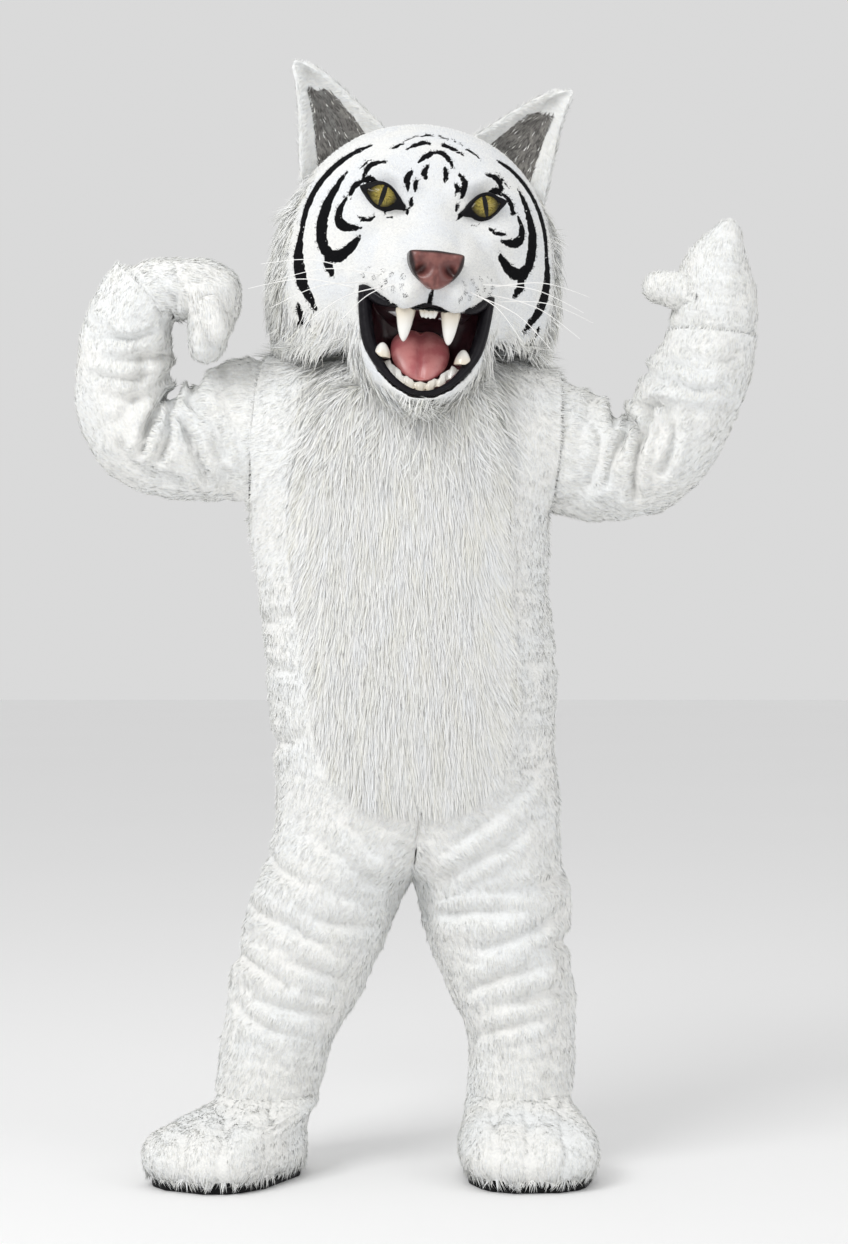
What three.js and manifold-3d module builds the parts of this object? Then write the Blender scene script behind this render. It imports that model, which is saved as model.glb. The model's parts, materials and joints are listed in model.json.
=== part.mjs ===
// A white tiger mascot costume, hollow, standing in a flexing pose. Millimetres, +Z up, the front faces -Y and
// the wearer's left is +X. The origin is at the base of the neck, between the shoulders that hold it up.
import * as THREE from "three";
import { mergeVertices } from "three/addons/utils/BufferGeometryUtils.js";
import Module from "manifold-3d";

const wasm = await Module();
wasm.setup();

// ---- driving sizes ----
const FLOOR = -1436; // from the neck base down to what the soles stand on
const SEAM = 0.3; // between neighbouring pieces
const PLUSH = 2.5; // short plush with its backing
const LONG_PILE = 11; // reach of the belly's pile, combed flat
const BELLY_LIFT = 2.6; // the belly's backing over the fronts
const SHELL = 11; // foam and plush of the head
const SNOUT = 6; // thinner foam of the muzzle and chin
const UPPER = 5; // foam and plush of a boot
const SHAFT_EASE = 5; // the boot's shaft inside the leg
const SOLE = 20;
const UNDERARM = -285;
const CROTCH = -920;
const HEM = -1300;
// The shoulder seam runs from the neck's side to the armhole's top.
const SHOULDER = { neck: 125, tip: 257, rightDrop: 6, leftDrop: 35 };
const NECKLINE = { front: 105, frontDrop: 40, back: 95, backDrop: 14 };
const ARMHOLE = { front: 96, back: 92, swell: 8 }; // how far its edge bows forward, back and out
const PANEL_COLUMNS = 6;
const SEAM_COLUMNS = 3; // columns of a panel that end in the shoulder seam
const CHEST_ROWS = 6;
const SLEEVE_COLUMNS = 2 * CHEST_ROWS;
const HEAD_COLUMNS = 28;
const HEAD_BASE = { x: -9, z: 40 }; // the head turns and tilts about this point
const HEAD_YAW = THREE.MathUtils.degToRad(6.5);
const HEAD_ROLL = THREE.MathUtils.degToRad(5);
const LIP = 6; // radius of the roll round the mouth
const LIP_STEPS = 36;
// How far ahead the lip lies at the mouth's corners, and how much further at its middles.
const LIP_DEPTH = { corner: 196, above: 66, below: 46 };

const COLOURS = {
  plush: 0xf2f1ec, pile: 0xf4f3ec, ear: 0x77766f, nose: 0x9c625c, iris: 0xa89b3c, black: 0x17151a,
  tongue: 0xc9676b, tooth: 0xf6f4ee, rubber: 0x1d1c1f, whisker: 0xf4f4f4,
};

// ---- tables of sizes ----
// One row per height: lean is where the centre seam lies; right and left are each side's reach from it, and
// rightIn and leftIn the inner reach of a leg; split is the share by which a leg's own round has moved out, and
// corner the squareness of the round.
const BODY = [
  { z: -285, lean: -31, right: 263, left: 262, front: 165, back: 150, corner: 2.4, split: 0 },
  { z: -331, lean: -30, right: 260, left: 259, front: 170, back: 150, corner: 2.4, split: 0 },
  { z: -401, lean: -28, right: 255, left: 255, front: 177, back: 148, corner: 2.4, split: 0 },
  { z: -472, lean: -21, right: 250, left: 250, front: 185, back: 147, corner: 2.4, split: 0 },
  { z: -542, lean: -10, right: 254, left: 255, front: 192, back: 150, corner: 2.4, split: 0 },
  { z: -612, lean: -7, right: 252, left: 252, front: 196, back: 156, corner: 2.4, split: 0 },
  { z: -683, lean: -5, right: 247, left: 246, front: 195, back: 165, corner: 2.3, split: 0 },
  { z: -753, lean: 2, right: 247, left: 248, front: 188, back: 174, corner: 2.3, split: 0.04 },
  { z: -788, lean: 3, right: 248, left: 247, front: 183, back: 177, corner: 2.3, split: 0.09 },
  { z: -824, lean: 3, right: 249, left: 247, front: 176, back: 176, corner: 2.2, split: 0.18 },
  { z: -859, lean: 0, right: 252, left: 250, front: 166, back: 171, corner: 2.2, split: 0.3 },
  { z: -894, lean: -4, right: 260, left: 257, front: 153, back: 159, corner: 2.1, split: 0.42 },
  { z: -920, lean: -7, right: 269, left: 267, front: 144, back: 149, corner: 2.1, split: 0.5 },
  { z: -964, lean: -7, right: 290, left: 276, rightIn: 23, leftIn: 11,
    front: 137, back: 141, corner: 2.1, split: 0.5 },
  { z: -1000, lean: -7, right: 297, left: 269, rightIn: 35, leftIn: 13,
    front: 132, back: 136, corner: 2.1, split: 0.5 },
  { z: -1035, lean: -7, right: 303, left: 269, rightIn: 46, leftIn: 25,
    front: 128, back: 131, corner: 2.1, split: 0.5 },
  { z: -1070, lean: -7, right: 313, left: 271, rightIn: 65, leftIn: 49,
    front: 123, back: 125, corner: 2.1, split: 0.5 },
  { z: -1105, lean: -7, right: 320, left: 278, rightIn: 83, leftIn: 56,
    front: 117, back: 119, corner: 2.1, split: 0.5 },
  { z: -1140, lean: -7, right: 322, left: 282, rightIn: 97, leftIn: 67,
    front: 111, back: 114, corner: 2.1, split: 0.5 },
  { z: -1176, lean: -7, right: 329, left: 278, rightIn: 123, leftIn: 93,
    front: 105, back: 109, corner: 2.1, split: 0.5 },
  { z: -1211, lean: -7, right: 336, left: 280, rightIn: 141, leftIn: 102,
    front: 100, back: 104, corner: 2.1, split: 0.5 },
  { z: -1246, lean: -7, right: 336, left: 278, rightIn: 155, leftIn: 99,
    front: 96, back: 101, corner: 2.1, split: 0.5 },
  { z: -1300, lean: -7, right: 343, left: 274, rightIn: 166, leftIn: 95,
    front: 93, back: 98, corner: 2.1, split: 0.5 },
].map((row) => ({ rightIn: 0, leftIn: 0, ...row })); // the legs part below the crotch
// The panels' rings: down the torso, closer together at the crotch, then down the legs.
const RING_HEIGHTS = [
  ...steps(UNDERARM, -788, 6), -824, -859, -884, -904, ...steps(CROTCH, HEM, 9),
];

// The largest folds of a panel: at a height and an angle from the side seam (front positive), so deep, so tall
// and so wide, and falling by slope for each degree. A ridge has a negative depth.
const BODY_FOLDS = [
  { side: "right", z: -842, angle: 70, deep: 7, tall: 16, wide: 48, slope: -0.35 },
  { side: "right", z: -905, angle: 25, deep: 6, tall: 15, wide: 40, slope: 0.3 },
  { side: "right", z: -985, angle: 105, deep: 8, tall: 15, wide: 60, slope: 0.25 },
  { side: "right", z: -1062, angle: 60, deep: 9, tall: 15, wide: 70, slope: -0.2 },
  { side: "right", z: -1130, angle: 100, deep: 8, tall: 14, wide: 60, slope: 0.2 },
  { side: "right", z: -1205, angle: 70, deep: 6, tall: 13, wide: 70, slope: 0.1 },
  { side: "right", z: -1020, angle: -110, deep: 8, tall: 16, wide: 60, slope: 0.2 },
  { side: "right", z: -1140, angle: -70, deep: 7, tall: 14, wide: 60, slope: -0.2 },
  { side: "left", z: -850, angle: 75, deep: 6, tall: 16, wide: 46, slope: 0.35 },
  { side: "left", z: -975, angle: 95, deep: 9, tall: 15, wide: 62, slope: -0.3 },
  { side: "left", z: -1048, angle: 110, deep: 8, tall: 14, wide: 60, slope: 0.25 },
  { side: "left", z: -1118, angle: 60, deep: 9, tall: 15, wide: 70, slope: -0.15 },
  { side: "left", z: -1190, angle: 90, deep: 7, tall: 13, wide: 70, slope: 0.15 },
  { side: "left", z: -1010, angle: -75, deep: 8, tall: 15, wide: 60, slope: -0.2 },
  { side: "left", z: -1150, angle: -110, deep: 7, tall: 14, wide: 60, slope: 0.2 },
];

// Belly panel: half its width about the centre seam at each height, from its round end to the neck.
const BELLY = [
  { z: -787, half: 10 }, { z: -785, half: 38 }, { z: -780, half: 68 }, { z: -766, half: 104 },
  { z: -742, half: 131 }, { z: -706, half: 153 }, { z: -660, half: 169 }, { z: -600, half: 176 },
  { z: -540, half: 178 }, { z: -470, half: 181 }, { z: -401, half: 185 }, { z: -340, half: 188 },
  { z: -285, half: 190 }, { z: -230, half: 188 }, { z: -180, half: 178 }, { z: -130, half: 158 },
  { z: -90, half: 132 }, { z: -72, half: 118 },
];
const BELLY_FLOOR = -824;
const BELLY_TOP = 4; // chest rows that the belly covers

// Sleeves and mitts: rings along the limb. x, y, z is a ring's centre; outer is its radius on the outside of the
// bend, inner on the inside, near towards the front and far towards the back; turn is the limb's heading in
// degrees, 0 straight out from the side and 90 straight up.
const SLEEVES = {
  right: [
    { x: -300, y: -2, z: -157, turn: 0, outer: 112, inner: 157, near: 95, far: 93 },
    { x: -350, y: -4, z: -163, turn: 2, outer: 103, inner: 150, near: 94, far: 92 },
    { x: -398, y: -10, z: -167, turn: 8, outer: 98, inner: 124, near: 92, far: 90 },
    { x: -440, y: -16, z: -165, turn: 20, outer: 97, inner: 100, near: 92, far: 88 },
    { x: -478, y: -22, z: -150, turn: 38, outer: 97, inner: 86, near: 93, far: 86 },
    { x: -503, y: -28, z: -118, turn: 62, outer: 92, inner: 75, near: 92, far: 84 },
    { x: -511, y: -34, z: -75, turn: 82, outer: 88, inner: 82, near: 90, far: 82 },
    { x: -511, y: -40, z: -30, turn: 90, outer: 86, inner: 90, near: 87, far: 80 },
    { x: -508, y: -46, z: 12, turn: 96, outer: 84, inner: 88, near: 84, far: 78 },
    { x: -500, y: -52, z: 48, turn: 108, outer: 80, inner: 80, near: 80, far: 74 },
    { x: -486, y: -58, z: 78, turn: 124, outer: 76, inner: 76, near: 74, far: 70 },
    { x: -472, y: -62, z: 94, turn: 133, outer: 75, inner: 75, near: 70, far: 66 },
  ],
  left: [
    { x: 285, y: -4, z: -176, turn: -6, outer: 124, inner: 116, near: 96, far: 94 },
    { x: 322, y: -8, z: -187, turn: -3, outer: 116, inner: 110, near: 94, far: 92 },
    { x: 357, y: -12, z: -196, turn: 8, outer: 106, inner: 102, near: 93, far: 90 },
    { x: 392, y: -18, z: -198, turn: 26, outer: 97, inner: 92, near: 92, far: 88 },
    { x: 430, y: -24, z: -176, turn: 48, outer: 90, inner: 88, near: 90, far: 86 },
    { x: 458, y: -30, z: -134, turn: 62, outer: 90, inner: 92, near: 88, far: 84 },
    { x: 477, y: -36, z: -88, turn: 68, outer: 90, inner: 96, near: 86, far: 82 },
    { x: 494, y: -42, z: -42, turn: 72, outer: 88, inner: 93, near: 82, far: 78 },
    { x: 506, y: -48, z: -6, turn: 80, outer: 84, inner: 86, near: 76, far: 73 },
    { x: 512, y: -52, z: 22, turn: 85, outer: 81, inner: 81, near: 70, far: 67 },
  ],
};
const MITTS = {
  right: [
    { x: -438, y: -70, z: 104, turn: 152, outer: 60, inner: 66, near: 72, far: 66 },
    { x: -402, y: -82, z: 102, turn: 178, outer: 56, inner: 51, near: 76, far: 64 },
    { x: -370, y: -94, z: 88, turn: 215, outer: 72, inner: 41, near: 74, far: 60 },
    { x: -364, y: -98, z: 72, turn: 238, outer: 74, inner: 37, near: 70, far: 58 },
    { x: -361, y: -102, z: 50, turn: 257, outer: 64, inner: 36, near: 64, far: 54 },
    { x: -362, y: -104, z: 20, turn: 268, outer: 38, inner: 33, near: 56, far: 46 },
    { x: -363, y: -104, z: -8, turn: 270, outer: 31, inner: 31, near: 44, far: 36 },
    { x: -363, y: -104, z: -23, turn: 270, outer: 21, inner: 22, near: 27, far: 23 },
  ],
  left: [
    { x: 518, y: -54, z: 58, turn: 89, outer: 80, inner: 80, near: 68, far: 64 },
    { x: 520, y: -56, z: 96, turn: 91, outer: 76, inner: 77, near: 66, far: 62 },
    { x: 520, y: -60, z: 128, turn: 90, outer: 65, inner: 68, near: 60, far: 56 },
    { x: 526, y: -64, z: 158, turn: 82, outer: 52, inner: 58, near: 54, far: 50 },
    { x: 534, y: -68, z: 184, turn: 76, outer: 38, inner: 42, near: 46, far: 42 },
    { x: 540, y: -70, z: 206, turn: 76, outer: 26, inner: 26, near: 33, far: 30 },
    { x: 543, y: -71, z: 218, turn: 76, outer: 15, inner: 14, near: 18, far: 17 },
  ],
};
// Thumbs: a blunt dome on the mitt, leaning so many degrees from +X, and so far from its root to its round end.
const THUMBS = {
  right: { x: -348, y: -152, z: 44, lean: -72, reach: 44, radius: 25 },
  left: { x: 452, y: -72, z: 100, lean: 172, reach: 62, radius: 30 },
};

// Boots: plan sections above the floor, about the ankle.
const BOOT = [
  { up: 20.3, half: 121, front: 236, back: 84 },
  { up: 38, half: 132, front: 248, back: 90 },
  { up: 62, half: 133, front: 246, back: 92 },
  { up: 86, half: 125, front: 224, back: 93 },
  { up: 106, half: 110, front: 178, back: 95 },
  { up: 122, half: 96, front: 132, back: 98 },
  { up: 135.6, half: 91, front: 98, back: 100 },
];
const BOOT_ANGLES = [0, 25, 45, 58, 68, 79, 90, 101, 112, 122, 135, 155, 180, 215, 250, 290, 325];
const BOOT_CORNER = 3;
const BOOT_HEEL = 0.62; // width of the heel against the toes
const TOE_GROOVES = [68, 90, 112];
const TOE_GROOVE = 9;
const BOOT_PLACES = {
  right: { turn: THREE.MathUtils.degToRad(28), out: 26, ahead: 22 },
  left: { turn: THREE.MathUtils.degToRad(4), out: 8, ahead: 4 },
};

// Head shell before it is turned: half width, front and back at each height.
const HEAD = [
  { z: 1, half: 226, front: 160, back: 172 }, { z: 60, half: 249, front: 179, back: 193 },
  { z: 120, half: 252, front: 190, back: 204 }, { z: 180, half: 245, front: 193, back: 206 },
  { z: 230, half: 232, front: 191, back: 201 }, { z: 275, half: 212, front: 183, back: 190 },
  { z: 315, half: 185, front: 162, back: 170 }, { z: 350, half: 150, front: 132, back: 142 },
  { z: 376, half: 108, front: 94, back: 105 }, { z: 392, half: 60, front: 52, back: 61 },
];
const HEAD_TOP = 399;
const HEAD_CORNER = 2.2;
// Long pile at the head's sides and back: rings below the shell's rim, down to the shoulders.
const RUFF_COLUMNS = { first: 4, last: HEAD_COLUMNS - 4 };
const RUFF_TOP = 4; // the shell's row at which it starts
const RUFF = { edge: 3, reach: 14, lift: 1.2 };
const RUFF_FOOT = [
  { half: 224, front: 162, back: 174, share: 0.5 },
  { half: 220, front: 158, back: 170, share: 1 },
];

const MOUTH = { half: 105, top: 58, middle: -2, sag: 6, deep: 150, corner: 1.8, points: 24 };
const SNOUT_ROWS = 5;
// The snout's seam: half its width, its height above the mouth and its drop below; how far it swells.
const JAW = { half: 138, up: 152, down: 180, back: 164, swell: 12, muzzle: 52, chin: 16 };
const CORNER_BOX = { from: 88, wide: 90, deep: 250, tall: 90 };
const EARS = [
  { outerX: 212, outerZ: 268, innerX: 66, innerZ: 372 },
  { outerX: 220, outerZ: 325, innerX: 82, innerZ: 392 },
  { outerX: 225, outerZ: 372, innerX: 108, innerZ: 408 },
  { outerX: 229, outerZ: 408, innerX: 136, innerZ: 428 },
  { outerX: 234, outerZ: 437, innerX: 164, innerZ: 449 },
  { outerX: 239, outerZ: 459, innerX: 191, innerZ: 467 },
  { outerX: 245, outerZ: 475, innerX: 218, innerZ: 479 },
  { outerX: 248, outerZ: 484, innerX: 240, innerZ: 486 },
];
const EAR = { thick: 8, cup: 26, columns: 5, lift: 2.2, y: 12 };
const EYE = { x: 87, z: 243, half: 30, tall: 19, bulge: 13, slant: 0.3 };
const EYE_RIM = { half: 43, tall: 28, bulge: 9 };
const NOSE = { wide: 94, tall: 60, z: 80, front: 316, bevel: 8 };
const FANG = { x: 38, y: -247, z: 49, long: 62, radius: 17 };
const LOWER_FANG = { x: 70, y: -216, z: -34, long: 36, radius: 10 };
// Rows of teeth: beads that follow the mouth's outline between two angles, at a share of the way out from the
// mouth's middle and so far behind the lips; deep is a bead's reach towards the lips and away from them.
const TEETH = {
  upper: { from: 80, to: 100, share: 0.86, behind: 8, count: 4, radius: 4, deep: 11 },
  lower: { from: 225, to: 315, share: 0.87, behind: 20, count: 9, radius: 7, deep: 13 },
};
const TONGUE = { half: 52, long: 66, thick: 18, y: -172, z: -14, tilt: 0.95 };
const WHISKER = 1.1; // radius
// Whiskers: share round the muzzle (0 corner, 1 middle), share up it, then reach out, forward and up of the tip.
const WHISKERS = [
  { round: 0.3, up: 0.55, out: 172, forward: -38, rise: 4 },
  { round: 0.42, up: 0.48, out: 178, forward: -16, rise: -28 },
  { round: 0.34, up: 0.36, out: 158, forward: 8, rise: -60 },
  { round: 0.5, up: 0.24, out: 128, forward: 30, rise: -82 },
  { round: 0.2, up: 0.66, out: 176, forward: -52, rise: -14 },
  { round: 0.62, up: 0.22, out: 96, forward: 34, rise: -80 },
];

// ---- small helpers ----
function steps(from, to, count) {
  return Array.from({ length: count + 1 }, (_, i) => from + ((to - from) * i) / count);
}

function mix(a, b, share) {
  return a + (b - a) * share;
}

function ease(from, to, value) {
  return THREE.MathUtils.smoothstep(value, from, to);
}

function point(x, y, z) {
  return new THREE.Vector3(x, y, z);
}

// cos or sin squared up to a superellipse.
function squared(value, corner) {
  return Math.sign(value) * Math.abs(value) ** (2 / corner);
}

// A table's columns at any place along its key, on a smooth curve through the rows.
function between(table, key, at) {
  const rising = table[1][key] > table[0][key];
  const found = table.findIndex((row, i) => i > 0 && (rising ? row[key] >= at : row[key] <= at));
  const i = found < 0 ? table.length - 1 : found;
  const rows = [i - 2, i - 1, i, i + 1].map((k) => table[THREE.MathUtils.clamp(k, 0, table.length - 1)]);
  const [a, b, c, d] = rows.map((row) => row[key]);
  const span = c - b;
  const t = THREE.MathUtils.clamp((at - b) / span, 0, 1);
  const out = {};
  for (const name of Object.keys(rows[1])) {
    const [pa, pb, pc, pd] = rows.map((row) => row[name]);
    const leave = ((pc - pa) / (c - a)) * span;
    const arrive = ((pd - pb) / (d - b)) * span;
    out[name] =
      pb * (2 * t ** 3 - 3 * t ** 2 + 1) + leave * (t ** 3 - 2 * t ** 2 + t) +
      pc * (3 * t ** 2 - 2 * t ** 3) + arrive * (t ** 3 - t ** 2);
  }
  return out;
}

// Outward normals of a grid of points, rows by columns; closed says that the columns go all round.
function normalsOf(grid, closed, flip = 1) {
  const columns = grid[0].length;
  return grid.map((row, i) =>
    row.map((_, j) => {
      const up = grid[Math.min(i + 1, grid.length - 1)][j].clone().sub(grid[Math.max(i - 1, 0)][j]);
      const next = closed ? (j + 1) % columns : Math.min(j + 1, columns - 1);
      const last = closed ? (j + columns - 1) % columns : Math.max(j - 1, 0);
      return row[next].clone().sub(row[last]).cross(up).normalize().multiplyScalar(flip);
    }),
  );
}

function moved(grid, normals, distance) {
  return grid.map((row, i) => row.map((p, j) => p.clone().addScaledVector(normals[i][j], distance)));
}

// Draws the outermost columns of an open grid in by half a seam.
function trimSides(grid) {
  const last = grid[0].length - 1;
  return grid.map((row) =>
    row.map((p, j) => {
      if (j > 0 && j < last) return p;
      const inward = row[j === 0 ? 1 : last - 1].clone().sub(p).normalize();
      return p.clone().addScaledVector(inward, SEAM / 2);
    }),
  );
}

function geometryOf(points, faces) {
  const a = point(0, 0, 0);
  let volume = 0;
  for (let i = 0; i < faces.length; i += 3)
    volume += a.crossVectors(points[faces[i]], points[faces[i + 1]]).dot(points[faces[i + 2]]);
  if (volume < 0) faces.reverse();
  return new THREE.BufferGeometry().setFromPoints(points).setIndex(faces);
}

// A wall between two grids of the same size, with its rims. capped closes the far end with a dome.
function wall(outer, inner, { closed = false, capped = false } = {}) {
  const rows = outer.length;
  const columns = outer[0].length;
  const spans = closed ? columns : columns - 1;
  const points = [...outer.flat(), ...inner.flat()];
  const faces = [];
  const at = (layer, i, j) => (layer * rows + i) * columns + (j % columns);
  const quad = (a, b, c, d) => faces.push(a, b, c, a, c, d);
  for (let j = 0; j < spans; j++) {
    for (let i = 0; i + 1 < rows; i++) {
      quad(at(0, i, j), at(0, i, j + 1), at(0, i + 1, j + 1), at(0, i + 1, j));
      quad(at(1, i, j), at(1, i + 1, j), at(1, i + 1, j + 1), at(1, i, j + 1));
    }
    quad(at(1, 0, j), at(1, 0, j + 1), at(0, 0, j + 1), at(0, 0, j));
    if (!capped) quad(at(0, rows - 1, j), at(0, rows - 1, j + 1), at(1, rows - 1, j + 1), at(1, rows - 1, j));
  }
  if (!closed)
    for (let i = 0; i + 1 < rows; i++) {
      quad(at(0, i, 0), at(0, i + 1, 0), at(1, i + 1, 0), at(1, i, 0));
      quad(at(1, i, columns - 1), at(1, i + 1, columns - 1), at(0, i + 1, columns - 1), at(0, i, columns - 1));
    }
  if (capped) {
    const tips = [outer, inner].map((grid) => domeTip(grid));
    const first = points.push(...tips) - 2;
    for (let j = 0; j < spans; j++) {
      faces.push(at(0, rows - 1, j), at(0, rows - 1, j + 1), first);
      faces.push(at(1, rows - 1, j + 1), at(1, rows - 1, j), first + 1);
    }
  }
  return geometryOf(points, faces);
}

function centreOf(row) {
  return row.reduce((sum, p) => sum.add(p), point(0, 0, 0)).divideScalar(row.length);
}

// A tip a little beyond the last ring, so that the end is round.
function domeTip(grid) {
  const centre = centreOf(grid.at(-1));
  const ahead = centre.clone().sub(centreOf(grid.at(-2)));
  return centre.addScaledVector(ahead, 0.3);
}

// A closed solid through rings, flat or domed at its ends.
function lofted(grid) {
  const columns = grid[0].length;
  const points = [...grid.flat(), centreOf(grid[0]), centreOf(grid.at(-1))];
  const faces = [];
  const last = (grid.length - 1) * columns;
  for (let j = 0; j < columns; j++) {
    const k = (j + 1) % columns;
    for (let i = 0; i + 1 < grid.length; i++) {
      const [a, b] = [i * columns, (i + 1) * columns];
      faces.push(a + j, a + k, b + k, a + j, b + k, b + j);
    }
    faces.push(j, points.length - 2, k);
    faces.push(last + k, points.length - 1, last + j);
  }
  return geometryOf(points, faces);
}

// A closed solid under an open sheet: its edge is drawn to one point behind it.
function filledBehind(grid, behind) {
  const columns = grid[0].length;
  const edge = [];
  const faces = [];
  for (let i = 0; i + 1 < grid.length; i++)
    for (let j = 0; j + 1 < columns; j++) {
      const a = i * columns + j;
      faces.push(a, a + 1, a + columns + 1, a, a + columns + 1, a + columns);
    }
  const rows = grid.length;
  for (let j = 0; j + 1 < columns; j++) edge.push([j + 1, j]);
  for (let i = 0; i + 1 < rows; i++) edge.push([(i + 2) * columns - 1, (i + 1) * columns - 1]);
  for (let j = 0; j + 1 < columns; j++) edge.push([(rows - 1) * columns + j, (rows - 1) * columns + j + 1]);
  for (let i = 0; i + 1 < rows; i++) edge.push([i * columns, (i + 1) * columns]);
  for (const [a, b] of edge) faces.push(a, b, rows * columns);
  return geometryOf([...grid.flat(), behind], faces);
}

// A geometry with nothing but its points and faces.
function bare(geometry) {
  const plain = new THREE.BufferGeometry().setAttribute("position", geometry.getAttribute("position"));
  return plain.setIndex(geometry.index);
}

function solid(geometry) {
  const merged = mergeVertices(bare(geometry), 1e-3);
  const mesh = new wasm.Mesh({
    numProp: 3,
    vertProperties: new Float32Array(merged.getAttribute("position").array),
    triVerts: new Uint32Array(merged.index.array),
  });
  return new wasm.Manifold(mesh);
}

function largest(bodies) {
  return bodies.reduce((most, body) => (body.volume() > most.volume() ? body : most));
}

function geometryFrom(body) {
  const mesh = body.getMesh();
  const position = new THREE.BufferAttribute(mesh.vertProperties, 3);
  return new THREE.BufferGeometry().setAttribute("position", position).setIndex([...mesh.triVerts]);
}

function named(name, geometry, color, roughness = 0.9) {
  const mesh = new THREE.Mesh(geometry, new THREE.MeshStandardMaterial({ color, roughness, metalness: 0 }));
  mesh.name = name;
  return mesh;
}

// ---- body suit ----
const SIDES = { right: -1, left: 1 };
const FACES = { front: 1, back: -1 };

function foldDepth(side, angle, z) {
  return BODY_FOLDS.filter((fold) => fold.side === side).reduce((sum, fold) => {
    const round = THREE.MathUtils.euclideanModulo(angle - fold.angle + 180, 360) - 180;
    const high = z - fold.z - fold.slope * round;
    return sum + fold.deep * Math.exp(-((high / fold.tall) ** 2) - (round / fold.wide) ** 2);
  }, 0);
}

// Where a side's own round lies at a height: its centre and reach out from the seam, and the angle at which it
// meets the seam's plane, a half turn where it is a whole leg.
function roundOf(side, row) {
  const centre = mix(Math.max(row[side + "In"], 0), row[side], Math.max(row.split, 0));
  const reach = row[side] - centre;
  return { centre, reach, whole: Math.acos(-(Math.min(centre / reach, 1) ** (row.corner / 2))) };
}

// A point of the suit below the underarm, at an angle from the side seam.
function bodyAt(side, face, z, angle, draw = 0) {
  const row = between(BODY, "z", z);
  const { centre, reach } = roundOf(side, row);
  const fold = foldDepth(side, THREE.MathUtils.radToDeg(angle) * FACES[face], z) + draw;
  const across = centre + (reach - fold) * squared(Math.cos(angle), row.corner);
  const depth = (row[face] - fold) * squared(Math.sin(angle), row.corner);
  return point(row.lean + SIDES[side] * Math.max(across, 0), -FACES[face] * depth, z);
}

// The same by share: 0 at the side seam, 1 at the centre or inner leg seam. The columns spread round the legs
// over a longer height than the crotch takes to close.
function bodyPoint(side, face, z, share) {
  const { whole } = roundOf(side, between(BODY, "z", z));
  const spread = mix(Math.PI, Math.PI / 2, ease(-1010, -753, z));
  return bodyAt(side, face, z, share * spread + (whole - spread) * share ** 4);
}

// Edges of the chest between the underarm and the shoulder: up runs from 0 to 1.
function shoulderLean(up) {
  return mix(BODY[0].lean, -6, up);
}

function armholeEdge(side, face, up) {
  const angle = Math.PI * up;
  const out = mix(BODY[0][side], SHOULDER.tip, up) + ARMHOLE.swell * Math.sin(angle);
  const z = mix(UNDERARM, -SHOULDER[side + "Drop"], (1 - Math.cos(angle)) / 2);
  return point(shoulderLean(up) + SIDES[side] * out, -FACES[face] * ARMHOLE[face] * Math.sin(angle), z);
}

function centreEdge(face, up) {
  const depth = mix(BODY[0][face], NECKLINE[face], 1 - Math.cos((up * Math.PI) / 2));
  const z = mix(UNDERARM, -NECKLINE[face + "Drop"], Math.sin((up * Math.PI) / 2));
  return point(shoulderLean(up), -FACES[face] * depth, z);
}

function neckEdge(side, face, share) {
  const turn = SEAM_COLUMNS / PANEL_COLUMNS;
  if (share <= turn) {
    const along = share / turn;
    return point(
      shoulderLean(1) + SIDES[side] * mix(SHOULDER.tip, SHOULDER.neck, along),
      0, -SHOULDER[side + "Drop"] * (1 - along),
    );
  }
  const angle = (((share - turn) / (1 - turn)) * Math.PI) / 2;
  return point(
    shoulderLean(1) + SIDES[side] * SHOULDER.neck * Math.cos(angle),
    -FACES[face] * NECKLINE[face] * Math.sin(angle),
    -NECKLINE[face + "Drop"] * (1 - Math.cos(angle)),
  );
}

// A point of the chest: blended from its four edges.
function chestPoint(side, face, up, share) {
  const blend = (a, b, s) => a.clone().multiplyScalar(1 - s).addScaledVector(b, s);
  const rows = blend(bodyPoint(side, face, UNDERARM, share), neckEdge(side, face, share), up);
  const columns = blend(armholeEdge(side, face, up), centreEdge(face, up), share);
  const low = blend(bodyPoint(side, face, UNDERARM, 0), bodyPoint(side, face, UNDERARM, 1), share);
  const high = blend(neckEdge(side, face, 0), neckEdge(side, face, 1), share);
  return rows.add(columns).sub(blend(low, high, up));
}

function panelGrid(side, face) {
  const shares = steps(0, 1, PANEL_COLUMNS);
  const below = [...RING_HEIGHTS].reverse().map((z) => shares.map((share) => bodyPoint(side, face, z, share)));
  const chest = steps(0, 1, CHEST_ROWS).slice(1).map((up) => shares.map((s) => chestPoint(side, face, up, s)));
  return [...below, ...chest];
}

// Both panels of one side, with normals that agree along the seams that they share.
function sidePanels(side) {
  const grids = { front: panelGrid(side, "front"), back: panelGrid(side, "back") };
  const normals = {
    front: normalsOf(grids.front, false, -SIDES[side]),
    back: normalsOf(grids.back, false, SIDES[side]),
  };
  const share = (i, j) => {
    const both = normals.front[i][j].clone().add(normals.back[i][j]).normalize();
    normals.front[i][j].copy(both);
    normals.back[i][j].copy(both);
  };
  const torsoRows = RING_HEIGHTS.length;
  const crotchRow = RING_HEIGHTS.length - 1 - RING_HEIGHTS.indexOf(CROTCH);
  const lastRow = grids.front.length - 1;
  for (let i = 0; i < torsoRows; i++) share(i, 0);
  for (let i = 0; i <= crotchRow; i++) share(i, PANEL_COLUMNS);
  for (let j = 0; j <= SEAM_COLUMNS; j++) share(lastRow, j);
  for (const face of Object.keys(FACES)) {
    for (const n of normals[face][0]) n.setZ(0).normalize();
    for (let i = crotchRow; i <= lastRow; i++) {
      const n = normals[face][i][PANEL_COLUMNS];
      if (n.x * SIDES[side] > 0) n.setX(0).normalize();
    }
    for (let i = torsoRows; i <= lastRow; i++) {
      const n = normals[face][i][0];
      if (n.x * SIDES[side] < 0) n.setX(0).normalize();
    }
  }
  return { grids, normals, lastRow };
}

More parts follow.
